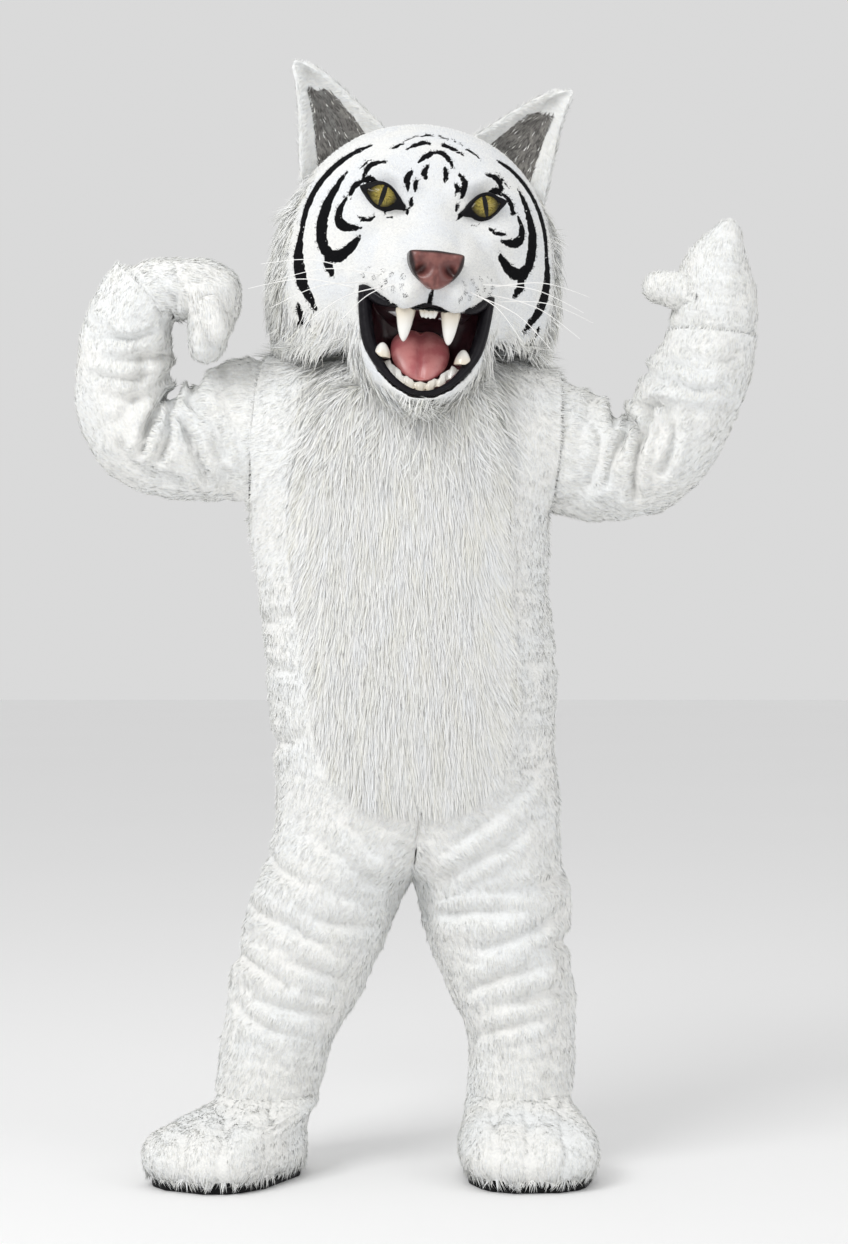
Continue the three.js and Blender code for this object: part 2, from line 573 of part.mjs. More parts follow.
function bodySuit(group) {
  for (const side of Object.keys(SIDES)) {
    const { grids, normals, lastRow } = sidePanels(side);
    for (const face of Object.keys(FACES)) {
      // Half a seam at the shoulder too: the top row moves off the seam's plane.
      const grid = grids[face];
      for (let j = 0; j <= SEAM_COLUMNS; j++) grid[lastRow][j].y -= (FACES[face] * SEAM) / 2;
      const outer = trimSides(grid);
      const inner = trimSides(moved(grid, normals[face], -PLUSH));
      group.add(named(`body_${face}_${side}`, wall(outer, inner), COLOURS.plush));
    }
  }
}

// The two fronts' own points moved out, cut to the bib's outline.
function bellyPanel() {
  const sides = { right: panelGrid("right", "front"), left: panelGrid("left", "front") };
  const lowest = RING_HEIGHTS.length - 1 - RING_HEIGHTS.indexOf(BELLY_FLOOR);
  const grid = sides.left
    .map((row, i) => [...sides.right[i].slice(0, -1), ...row.reverse()])
    .slice(lowest, RING_HEIGHTS.length + BELLY_TOP);
  const normals = normalsOf(grid, false);
  const pile = solid(wall(moved(grid, normals, BELLY_LIFT + LONG_PILE), moved(grid, normals, BELLY_LIFT)));
  const edge = (sign, y) => BELLY.map(({ z, half }) => {
      const up = ease(UNDERARM, 0, z);
      const lean = z > UNDERARM ? shoulderLean(up) : between(BODY, "z", z).lean;
      return point(lean + sign * half, y, z);
    });
  const outline = [-400, -20].map((y) => [...edge(1, y), ...edge(-1, y).reverse()]);
  // The jaw rests against the pile: what it takes is cut away, and half a millimetre behind and under it.
  const jaw = solid(snout(false)).hull();
  const bib = pile.intersect(solid(lofted(outline))).subtract(jaw).subtract(jaw.translate([0, 0.5, -0.5]));
  return geometryFrom(largest(bib.decompose()));
}

// ---- sleeves, mitts and thumbs ----
function limbRing(side, row) {
  const turn = THREE.MathUtils.degToRad(row.turn);
  const out = point(SIDES[side] * Math.sin(turn), 0, -Math.cos(turn));
  return steps(0, 2 * Math.PI, SLEEVE_COLUMNS).slice(0, -1).map((angle) => {
    const across = Math.cos(angle) * (Math.cos(angle) > 0 ? row.outer : row.inner);
    const depth = Math.sin(angle) * (Math.sin(angle) > 0 ? row.near : row.far);
    return point(row.x, row.y - depth, row.z).addScaledVector(out, across);
  });
}

function heading(side, turn) {
  const angle = THREE.MathUtils.degToRad(turn);
  return point(SIDES[side] * Math.cos(angle), 0, Math.sin(angle));
}

// Normals of a limb, square to its heading at the first and last rings, where other pieces meet it.
function limbNormals(side, grid, first, last) {
  const normals = normalsOf(grid, true, -SIDES[side]);
  for (const [row, axis] of [[0, first], [grid.length - 1, last]])
    for (const n of normals[row]) n.addScaledVector(axis, -n.dot(axis)).normalize();
  return normals;
}

function sleeve(side) {
  const ups = steps(0, 1, CHEST_ROWS);
  const hole = [
    ...ups.map((up) => armholeEdge(side, "front", up)),
    ...ups.slice(1, -1).reverse().map((up) => armholeEdge(side, "back", up)),
  ];
  const outward = heading(side, 0);
  for (const p of hole) p.addScaledVector(outward, SEAM + 0.1);
  const rows = SLEEVES[side];
  const grid = [hole, ...rows.map((row) => limbRing(side, row))];
  const normals = limbNormals(side, grid, outward, heading(side, rows.at(-1).turn));
  return wall(grid, moved(grid, normals, -PLUSH), { closed: true });
}

function mittGrid(side) {
  const wrist = SLEEVES[side].at(-1);
  const forward = heading(side, wrist.turn);
  const first = limbRing(side, wrist).map((p) => p.addScaledVector(forward, SEAM));
  const grid = [first, ...MITTS[side].map((row) => limbRing(side, row))];
  return { grid, normals: limbNormals(side, grid, forward, heading(side, MITTS[side].at(-1).turn)) };
}

function mitt(side) {
  const { grid, normals } = mittGrid(side);
  return wall(grid, moved(grid, normals, -PLUSH), { closed: true, capped: true });
}

// A hollow dome, open where it is sewn to the mitt and shaped to it.
function thumb(side) {
  const { grid, normals } = mittGrid(side);
  const hand = solid(lofted(moved(grid, normals, SEAM)));
  const { x, y, z, lean, reach, radius } = THUMBS[side];
  const dome = (less) => {
    const shape = new THREE.CapsuleGeometry(radius - less, 2 * reach - 2 * radius, 3, 9);
    shape.rotateZ(-Math.PI / 2).rotateY(-THREE.MathUtils.degToRad(lean)).translate(x, y, z);
    return solid(shape);
  };
  const parts = dome(0).subtract(dome(PLUSH)).subtract(hand).decompose();
  return geometryFrom(largest(parts));
}

// ---- boots ----
function ankle(side) {
  const row = between(BODY, "z", HEM);
  return row.lean + SIDES[side] * mix(row[side + "In"], row[side], 0.5);
}

function bootRing(side, row, grooves) {
  const foot = 1 - ease(90, 128, row.up);
  const { turn, out, ahead: shift } = BOOT_PLACES[side];
  return BOOT_ANGLES.map((degrees) => {
    const angle = THREE.MathUtils.degToRad(degrees);
    const groove = TOE_GROOVES.includes(degrees) ? grooves : 0;
    const ahead = Math.sin(angle) > 0 ? row.front - groove : row.back;
    const corner = mix(2.1, BOOT_CORNER, foot);
    const narrow = mix(1, mix(BOOT_HEEL, 1, ease(-0.8, 0.5, Math.sin(angle))), foot);
    const x = SIDES[side] * row.half * narrow * squared(Math.cos(angle), corner);
    const y = -ahead * squared(Math.sin(angle), corner);
    const p = point(x, y, 0).applyAxisAngle(point(0, 0, 1), SIDES[side] * turn * foot);
    return p.add(point(ankle(side) + SIDES[side] * out * foot, -shift * foot, FLOOR + row.up));
  });
}

// The boot's shaft stands inside the leg, made from the leg's own ring drawn in by its wall.
function shaftRing(side, z) {
  return BOOT_ANGLES.map((degrees) => {
    const face = degrees <= 180 ? "front" : "back";
    const angle = THREE.MathUtils.degToRad(degrees <= 180 ? degrees : 360 - degrees);
    return bodyAt(side, face, z, angle, PLUSH + SHAFT_EASE);
  });
}

function boot(side) {
  const foot = BOOT.map((row, i) => bootRing(side, row, i < 4 ? TOE_GROOVE : i === 4 ? TOE_GROOVE / 2 : 0));
  const shaft = [HEM, HEM + 40].map((z) => shaftRing(side, z));
  for (const p of shaft[0]) p.z -= SEAM + 0.1;
  const grid = [...foot, ...shaft];
  const normals = normalsOf(grid, true, -SIDES[side]);
  for (const n of normals[0]) n.setZ(0).normalize();
  return wall(grid, moved(grid, normals, -UPPER), { closed: true });
}

function sole(side) {
  const plan = { ...BOOT[0], half: BOOT[0].half + 2, front: BOOT[0].front + 3, back: BOOT[0].back + 2 };
  return lofted([0, SOLE].map((up) => bootRing(side, { ...plan, up }, TOE_GROOVE / 2)));
}

// ---- head ----
// Turns and tilts the head about its base; the lower sides and back stay on the shoulders.
function posed(p) {
  const held = Math.max(ease(-10, 110, p.z), ease(110, 158, -p.y));
  const q = p.clone();
  q.applyAxisAngle(point(0, 0, 1), HEAD_YAW * held);
  q.z -= HEAD_BASE.z;
  q.applyAxisAngle(point(0, 1, 0), HEAD_ROLL * held);
  q.z += HEAD_BASE.z;
  q.x += HEAD_BASE.x;
  return q;
}

function posedGrid(grid) {
  return grid.map((row) => row.map(posed));
}

function headRing(row, out = 0) {
  return steps(0, 2 * Math.PI, HEAD_COLUMNS).slice(0, -1).map((angle) => {
    const depth = Math.cos(angle) > 0 ? row.front : row.back;
    return point(
      (row.half + out) * squared(Math.sin(angle), HEAD_CORNER),
      -(depth + out) * squared(Math.cos(angle), HEAD_CORNER), row.z,
    );
  });
}

// How far forward the shell's face lies at a place on it.
function faceDepth(x, z) {
  const row = between(HEAD, "z", z);
  return row.front * Math.max(1 - Math.abs(x / row.half) ** HEAD_CORNER, 0) ** (1 / HEAD_CORNER);
}

// A point of the mouth's outline, expanded by a distance, at an angle from the wearer's left corner over the top.
function outlinePoint(angle, out) {
  const [c, s] = [Math.cos(angle), Math.sin(angle)];
  if (s >= -1e-9) return { angle, x: (MOUTH.half + out) * c, z: MOUTH.top - MOUTH.sag * s + out * s };
  return {
    angle,
    x: (MOUTH.half + out) * squared(c, MOUTH.corner),
    z: MOUTH.top + (MOUTH.deep + out) * squared(s, MOUTH.corner),
  };
}

function mouthOutline(out = 0) {
  return steps(0, 2 * Math.PI, MOUTH.points).slice(0, -1).map((angle) => outlinePoint(angle, out));
}

function lipDepth(angle) {
  const s = Math.sin(angle);
  return LIP_DEPTH.corner + (s > 0 ? LIP_DEPTH.above : LIP_DEPTH.below) * s * s;
}

function headForm(out) {
  const rings = HEAD.map((row) => headRing(row, out));
  rings[0].forEach((p) => (p.z -= out));
  rings.at(-1).forEach((p) => (p.z += out));
  return solid(lofted(posedGrid(rings)));
}

function headShell() {
  const grid = HEAD.map((row) => headRing(row));
  grid.push(headRing({ z: HEAD_TOP, half: 10, front: 8, back: 12 }));
  const normals = normalsOf(grid, true);
  for (const n of normals[0]) n.setZ(0).normalize();
  const shell = solid(
    wall(posedGrid(grid), posedGrid(moved(grid, normals, -SHELL)), { closed: true, capped: true }),
  );
  const hole = [-120, -300].map((y) => mouthOutline(2).map(({ x, z }) => point(x, y, z)));
  return geometryFrom(shell.subtract(solid(posedShapeOnFace(lofted(hole)))));
}

// The turned head's own frame for pieces of the face, wherever they lie.
function onFace(p) {
  const q = p.clone().applyAxisAngle(point(0, 0, 1), HEAD_YAW);
  q.z -= HEAD_BASE.z;
  q.applyAxisAngle(point(0, 1, 0), HEAD_ROLL);
  q.z += HEAD_BASE.z;
  q.x += HEAD_BASE.x;
  return q;
}

function posedShapeOnFace(geometry) {
  const place = geometry.getAttribute("position");
  const p = point(0, 0, 0);
  for (let i = 0; i < place.count; i++) {
    const q = onFace(p.fromBufferAttribute(place, i));
    place.setXYZ(i, q.x, q.y, q.z);
  }
  return geometry;
}

function headRuff() {
  const { first, last } = RUFF_COLUMNS;
  const above = HEAD.slice(0, RUFF_TOP + 1).reverse();
  const rings = RUFF_FOOT.map((row) =>
    headRing(row).map((p) => p.setZ(mix(HEAD[0].z, shoulderHeight(p.x) + SEAM + 0.2, row.share))),
  );
  const grid = [...above.map((row) => headRing(row)), ...rings].map((row) => row.slice(first, last + 1));
  const normals = normalsOf(grid, false, -1);
  for (const n of normals.slice(-3).flat()) n.setZ(0).normalize();
  const outer = grid.map((row, i) =>
    row.map((p, j) => {
      const full = ease(0, 4, i) * ease(0, 3, Math.min(j, last - first - j));
      return p.clone().addScaledVector(normals[i][j], RUFF.lift + mix(RUFF.edge, RUFF.reach, full));
    }),
  );
  return wall(posedGrid(outer), posedGrid(moved(grid, normals, RUFF.lift)));
}

// Height of the shoulder seam where it lies under a place at the head's side.
function shoulderHeight(x) {
  const drop = SHOULDER[x < 0 ? "rightDrop" : "leftDrop"];
  return (-drop * Math.max(Math.abs(x) - SHOULDER.neck, 0)) / (SHOULDER.tip - SHOULDER.neck);
}

// The snout from the lip to where it meets the face: the muzzle above the mouth, the chin below it.
function snoutPoint(angle, lip, up) {
  const s = Math.sin(angle);
  const above = s >= -1e-9;
  const seam = above
    ? { x: JAW.half * squared(Math.cos(angle), 2.2), z: MOUTH.top + JAW.up * s }
    : { x: JAW.half * squared(Math.cos(angle), 1.9), z: MOUTH.top + JAW.down * squared(s, 1.9) };
  // Below the face the chin's seam runs back under the jaw.
  const onShell = faceDepth(seam.x, Math.max(seam.z, 10)) - 4;
  const seamDepth = mix(JAW.back, onShell, ease(-40, 10, seam.z));
  const bulge = JAW.swell + (above ? JAW.muzzle : JAW.chin) * s * s;
  const hump = Math.sin(Math.PI * up ** 0.75);
  return point(
    mix(lip.x, seam.x, up), -(mix(lipDepth(angle), seamDepth, up) + bulge * hump), mix(lip.z, seam.z, up),
  );
}

function snoutGrid(above) {
  const lips = mouthOutline(LIP + 0.5);
  const half = MOUTH.points / 2;
  const wanted = above ? [0, half] : [half, 2 * half];
  return steps(0, 1, SNOUT_ROWS).map((up) =>
    steps(wanted[0], wanted[1], half).map((k) => {
      const lip = lips[k % MOUTH.points];
      const bend = above === (k <= half && k > 0) ? lip.angle : above ? 0 : k === half ? Math.PI + 1e-6 : -1e-6;
      return snoutPoint(bend, lip, up);
    }),
  );
}

// The room that the muzzle takes, and a seam beyond it.
function snoutForm(above, behind) {
  const grid = snoutGrid(above);
  return solid(posedShapeOnFace(filledBehind(moved(grid, normalsOf(grid, false, -1), SEAM), behind)));
}

function snout(above) {
  const grid = snoutGrid(above);
  const made = solid(wall(grid, moved(grid, normalsOf(grid, false, -1), -SNOUT)));
  // At the mouth's corners the muzzle ends half a seam above their height, and the chin below it.
  const edge = MOUTH.top + (above ? SEAM / 2 - CORNER_BOX.tall : -SEAM / 2);
  const boxes = Object.values(SIDES).map((sign) =>
    wasm.Manifold.cube([CORNER_BOX.wide, CORNER_BOX.deep, CORNER_BOX.tall])
      .translate([sign < 0 ? -CORNER_BOX.from - CORNER_BOX.wide : CORNER_BOX.from, -CORNER_BOX.deep - 60, edge]),
  );
  const body = boxes.reduce((rest, box) => rest.subtract(box), made.subtract(lipRoll(LIP + SEAM)));
  return geometryFrom(solid(posedShapeOnFace(geometryFrom(body))).subtract(headForm(SEAM)));
}

function lipRoll(radius) {
  const route = mouthOutline().map(({ angle, x, z }) => point(x, -lipDepth(angle), z));
  const curve = new THREE.CatmullRomCurve3(route, true);
  const places = curve.getSpacedPoints(LIP_STEPS).slice(0, -1);
  const grid = places.map((p, i) => {
    const ahead = places[(i + 1) % LIP_STEPS].clone().sub(places.at(i - 1)).normalize();
    const side = point(0, 1, 0).addScaledVector(ahead, -ahead.y).normalize();
    const up = ahead.clone().cross(side);
    return steps(0, 2 * Math.PI, 6).slice(0, -1).map((angle) =>
      p.clone().addScaledVector(side, radius * Math.cos(angle)).addScaledVector(up, radius * Math.sin(angle)),
    );
  });
  return solid(ringed(grid));
}

// A closed ring of sections.
function ringed(grid) {
  const columns = grid[0].length;
  const faces = [];
  grid.forEach((_, i) => {
    const [a, b] = [i * columns, ((i + 1) % grid.length) * columns];
    for (let j = 0; j < columns; j++) {
      const k = (j + 1) % columns;
      faces.push(a + j, a + k, b + k, a + j, b + k, b + j);
    }
  });
  return geometryOf(grid.flat(), faces);
}

// The mouth's cup, from behind the lip to its dark back.
function mouthCup(less) {
  const rows = [
    { share: 1, back: LIP + 1 }, { share: 0.93, y: -178 }, { share: 0.84, y: -158 }, { share: 0.66, y: -142 },
    { share: 0.4, y: -136 },
  ];
  return rows.map(({ share, back, y }) =>
    mouthOutline(-2 - less).map(({ angle, x, z }) =>
      point(x * share, (y ?? -lipDepth(angle) + back) - less * (1 - share), mix(MOUTH.middle, z, share)),
    ),
  );
}

function mouthLining() {
  return posedShapeOnFace(wall(mouthCup(0), mouthCup(2), { closed: true, capped: true }));
}

// The room inside the cup, run forward past the lips, that the tongue and teeth are cut to.
function mouthRoom() {
  const cup = mouthCup(2 + SEAM);
  cup.pop();
  cup.unshift(cup[0].map((p) => point(p.x, -300, p.z)));
  return solid(lofted(cup));
}

function tongue() {
  const { half, long, thick, y, z, tilt } = TONGUE;
  const shape = new THREE.SphereGeometry(1, 14, 8).scale(half, long, thick).rotateX(tilt).translate(0, y, z);
  return posedShapeOnFace(geometryFrom(solid(shape).intersect(mouthRoom())));
}

// A tooth's cone, cut to the lip that it grows from and to the lining behind it.
function fang({ x, y, z, long, radius }, side, up) {
  const profile = steps(0, 1, 5).map((t) => {
    return new THREE.Vector2(radius * Math.cos((t * Math.PI) / 2) ** 0.75, long * t);
  });
  profile.unshift(new THREE.Vector2(0, 0));
  profile[profile.length - 1].x = 0;
  const shape = new THREE.LatheGeometry(profile, 8).rotateX(up ? Math.PI / 2 : -Math.PI / 2);
  return seated(solid(shape.translate(SIDES[side] * x, y, z)));
}

// A row of teeth: a beaded bar along the mouth's outline.
function teeth({ from, to, share, behind, count, radius, deep }) {
  const grid = steps(from, to, count * 2).map((degrees, i) => {
    const angle = THREE.MathUtils.degToRad(degrees);
    const edge = outlinePoint(angle, 0);
    const place = point(edge.x * share, behind - lipDepth(angle), mix(MOUTH.middle, edge.z, share));
    const out = point(edge.x, 0, edge.z - MOUTH.middle).normalize();
    const bead = i % 2 ? 1 : 0.74;
    return steps(0, 2 * Math.PI, 6).slice(0, -1).map((turn) => {
      const rim = place.clone().addScaledVector(out, deep * bead * Math.cos(turn));
      return rim.setY(place.y + radius * bead * Math.sin(turn));
    });
  });
  return seated(solid(lofted(grid)));
}

function seated(body) {
  const parts = body.intersect(mouthRoom()).subtract(lipRoll(LIP + SEAM)).decompose();
  return posedShapeOnFace(geometryFrom(largest(parts)));
}

function earGrid(side) {
  return EARS.map((row, i) => {
    const open = 1 - i / (EARS.length - 1);
    return steps(0, 1, EAR.columns).map((share) => {
      const cup = EAR.cup * open ** 0.6 * (1 - (2 * share - 1) ** 2);
      const x = SIDES[side] * mix(row.outerX, row.innerX, share);
      return point(x, EAR.y + cup - 18 * (1 - open), mix(row.outerZ, row.innerZ, share));
    });
  });
}

function ear(side, form) {
  const grid = earGrid(side);
  const normals = normalsOf(grid, false, -SIDES[side]);
  return geometryFrom(solid(wall(posedGrid(grid), posedGrid(moved(grid, normals, -EAR.thick)))).subtract(form));
}

function earLining(side, form) {
  const grid = earGrid(side);
  const normals = normalsOf(grid, false, -SIDES[side]);
  const patch = (out) => moved(grid, normals, out).slice(0, -3).map((row) => row.slice(1, -1));
  const made = solid(wall(posedGrid(patch(SEAM + EAR.lift)), posedGrid(patch(SEAM))));
  return geometryFrom(made.subtract(form));
}

function eyeShape(side, { half, tall, bulge }, out) {
  const shape = new THREE.SphereGeometry(1, 14, 8).scale(half + out, bulge + out, tall + out);
  shape.rotateY(-SIDES[side] * EYE.slant);
  shape.rotateZ(SIDES[side] * Math.atan2(EYE.x, 2.2 * faceDepth(EYE.x, EYE.z)));
  shape.translate(SIDES[side] * EYE.x, -faceDepth(EYE.x, EYE.z) + 1, EYE.z);
  return solid(posedShapeOnFace(shape));
}

function nose() {
  const { wide, tall, z, front, bevel } = NOSE;
  const outline = new THREE.Shape();
  const half = wide / 2 - bevel;
  outline.moveTo(-half, tall - bevel);
  outline.quadraticCurveTo(0, tall - bevel + 5, half, tall - bevel);
  outline.quadraticCurveTo(half + 3, tall * 0.5, 9, bevel);
  outline.quadraticCurveTo(0, bevel - 4, -9, bevel);
  outline.quadraticCurveTo(-half - 3, tall * 0.5, -half, tall - bevel);
  const shape = new THREE.ExtrudeGeometry(outline, {
    depth: 70, bevelThickness: bevel, bevelSize: bevel, bevelSegments: 3, curveSegments: 6,
  });
  shape.rotateX(Math.PI / 2).translate(0, -front + bevel + 70, z);
  const body = solid(posedShapeOnFace(mergeVertices(bare(shape), 1e-3)));
  return geometryFrom(body.subtract(snoutForm(true, point(0, -190, 100))));
}

function whisker(side, { round, up, out, forward, rise }) {
  const grid = snoutGrid(true);
  const normals = normalsOf(grid, false, -1);
  const half = MOUTH.points / 2;
  const column = Math.round(side === "left" ? (round * half) / 2 : half - (round * half) / 2);
  const row = Math.round(up * SNOUT_ROWS);
  const root = grid[row][column].clone().addScaledVector(normals[row][column], -1);
  const tip = root.clone().add(point(SIDES[side] * out, -forward, rise));
  const middle = root.clone().lerp(tip, 0.5).add(point(0, -10, 16));
  const curve = new THREE.CatmullRomCurve3([root, middle, tip]);
  const section = new THREE.Shape(steps(0, 2 * Math.PI, 4).slice(0, -1).map((a) => {
    return new THREE.Vector2(WHISKER * Math.cos(a), WHISKER * Math.sin(a));
  }));
  const shape = new THREE.ExtrudeGeometry(section, { steps: 5, extrudePath: curve });
  const body = solid(posedShapeOnFace(mergeVertices(bare(shape), 1e-3)));
  return geometryFrom(largest(body.subtract(snoutForm(true, point(0, -190, 100))).decompose()));
}

// ---- the whole costume ----
const costume = new THREE.Group();
bodySuit(costume);
costume.add(named("belly_panel", bellyPanel(), COLOURS.pile));
for (const side of Object.keys(SIDES)) {
  costume.add(named(`sleeve_${side}`, sleeve(side), COLOURS.plush));
  costume.add(named(`mitt_${side}`, mitt(side), COLOURS.plush));
  costume.add(named(`thumb_${side}`, thumb(side), COLOURS.plush));
  costume.add(named(`boot_${side}`, boot(side), COLOURS.plush));
  costume.add(named(`sole_${side}`, sole(side), COLOURS.rubber, 0.6));
}

const head = new THREE.Group();
costume.add(head);
const headSpace = headForm(SEAM);
head.add(named("head_shell", headShell(), COLOURS.plush));
head.add(named("head_ruff", headRuff(), COLOURS.pile));
head.add(named("muzzle", snout(true), COLOURS.plush));
head.add(named("chin", snout(false), COLOURS.plush));
head.add(named("nose", nose(), COLOURS.nose, 0.35));
head.add(named("lips", posedShapeOnFace(geometryFrom(lipRoll(LIP))), COLOURS.black, 0.3));
head.add(named("mouth_lining", mouthLining(), COLOURS.black, 0.4));
head.add(named("tongue", tongue(), COLOURS.tongue, 0.35));
for (const [jaw, row] of Object.entries(TEETH)) head.add(named(`teeth_${jaw}`, teeth(row), COLOURS.tooth, 0.25));
for (const side of Object.keys(SIDES)) {
  head.add(named(`ear_${side}`, ear(side, headSpace), COLOURS.plush));
  head.add(named(`ear_lining_${side}`, earLining(side, headSpace), COLOURS.ear));
  const ball = eyeShape(side, EYE, 0);
  const rim = eyeShape(side, EYE_RIM, 0).subtract(eyeShape(side, EYE, SEAM)).subtract(headSpace);
  head.add(named(`eye_${side}`, geometryFrom(ball.subtract(headSpace)), COLOURS.iris, 0.15));
  head.add(named(`eye_rim_${side}`, geometryFrom(rim), COLOURS.black, 0.3));
  head.add(named(`fang_upper_${side}`, fang(FANG, side, false), COLOURS.tooth, 0.25));
  head.add(named(`fang_lower_${side}`, fang(LOWER_FANG, side, true), COLOURS.tooth, 0.25));
  WHISKERS.forEach((row, i) => {
    head.add(named(`whisker_${side}_${i + 1}`, whisker(side, row), COLOURS.whisker, 0.4));
  });
}

export default costume;
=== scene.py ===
# %% [markdown]
# # A white tiger costume, sewn from plush over a foam head
# The costume is cut and sewn like a suit: two fronts and two backs with the legs in one piece, sleeves,
# mitts, foam boots and a foam head. The solids of all those pieces come with the frame. This lesson gives
# each one its cloth, its creases and its pile, and leaves every solid where it is.

# %% The frame and its box
import json
import math

import bpy
import numpy as np
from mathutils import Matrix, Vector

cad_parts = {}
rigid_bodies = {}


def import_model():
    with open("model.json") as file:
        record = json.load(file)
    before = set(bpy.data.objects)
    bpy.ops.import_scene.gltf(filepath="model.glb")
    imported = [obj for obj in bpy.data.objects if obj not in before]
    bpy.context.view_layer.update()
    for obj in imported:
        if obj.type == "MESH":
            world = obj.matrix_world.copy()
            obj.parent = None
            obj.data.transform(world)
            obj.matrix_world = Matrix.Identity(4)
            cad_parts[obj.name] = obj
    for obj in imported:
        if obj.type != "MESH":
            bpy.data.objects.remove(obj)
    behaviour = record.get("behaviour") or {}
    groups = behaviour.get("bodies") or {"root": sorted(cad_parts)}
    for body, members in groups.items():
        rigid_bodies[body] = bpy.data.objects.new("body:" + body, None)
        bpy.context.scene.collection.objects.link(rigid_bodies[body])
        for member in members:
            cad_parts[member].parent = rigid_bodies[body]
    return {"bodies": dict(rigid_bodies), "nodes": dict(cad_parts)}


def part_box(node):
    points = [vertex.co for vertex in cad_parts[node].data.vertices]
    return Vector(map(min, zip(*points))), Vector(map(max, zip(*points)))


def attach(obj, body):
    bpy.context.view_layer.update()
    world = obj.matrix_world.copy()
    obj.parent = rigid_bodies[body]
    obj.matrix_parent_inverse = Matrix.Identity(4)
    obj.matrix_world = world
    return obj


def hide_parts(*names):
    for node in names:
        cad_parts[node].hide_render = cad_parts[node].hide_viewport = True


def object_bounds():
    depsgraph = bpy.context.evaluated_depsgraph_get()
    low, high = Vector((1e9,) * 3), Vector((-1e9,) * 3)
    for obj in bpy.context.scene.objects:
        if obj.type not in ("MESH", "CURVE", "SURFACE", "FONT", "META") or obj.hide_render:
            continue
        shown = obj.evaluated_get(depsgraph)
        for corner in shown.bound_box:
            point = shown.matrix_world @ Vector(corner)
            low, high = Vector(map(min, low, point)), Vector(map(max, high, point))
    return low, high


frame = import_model()
nodes = frame["nodes"]
for stray in set(bpy.data.objects) - set(nodes.values()) - set(frame["bodies"].values()):
    bpy.data.objects.remove(stray)  # the start-up cube, lamp and camera
solids_box = [list(corner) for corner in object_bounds()]
FLOOR = solids_box[0][2]
MM = 0.001
SIDES = {"right": -1, "left": 1}  # the wearer's own sides: right is -X
print("solids:", len(nodes), "box", [[round(v, 3) for v in corner] for corner in solids_box])

# %% [markdown]
# ## The camera
# A long lens from five metres away, at the height of the costume's waist, keeps the body free of
# perspective. The camera stays level, so upright lines stay upright.

# %% Camera
CAMERA = {"x": 0.0123, "away": 5.0, "up": 0.961, "lens": 82.2, "sensor": 36}
bpy.ops.object.camera_add(location=(CAMERA["x"], -CAMERA["away"], FLOOR + CAMERA["up"]),
                          rotation=(math.radians(90), 0, 0))
camera = bpy.context.object
camera.data.sensor_fit = "VERTICAL"
camera.data.sensor_height = CAMERA["sensor"]
camera.data.lens = CAMERA["lens"]
bpy.context.scene.camera = camera

# %% [markdown]
# ## Writing materials as sums
# A material is easier to read as arithmetic than as a web of nodes. `Wire` wraps a socket so that +, -, *
# and / add a Math node, and `Finish.node` makes any other node from its settings and its inputs.

# %% Wires
MIX = {"factor": 0, "first": 6, "second": 7, "result": 2}  # the colour sockets of a Mix node


class Wire:
    """A socket of a material that numbers and other wires can be added to, multiplied by and so on."""

    def __init__(self, finish, socket):
        self.finish, self.socket = finish, socket

    def _math(self, operation, first, second):
        return self.finish.node("ShaderNodeMath", {"operation": operation}, {0: first, 1: second})

    def __add__(self, other): return self._math("ADD", self, other)
    def __sub__(self, other): return self._math("SUBTRACT", self, other)
    def __mul__(self, other): return self._math("MULTIPLY", self, other)
    def __truediv__(self, other): return self._math("DIVIDE", self, other)
    def __radd__(self, other): return self._math("ADD", other, self)
    def __rsub__(self, other): return self._math("SUBTRACT", other, self)
    def __rmul__(self, other): return self._math("MULTIPLY", other, self)


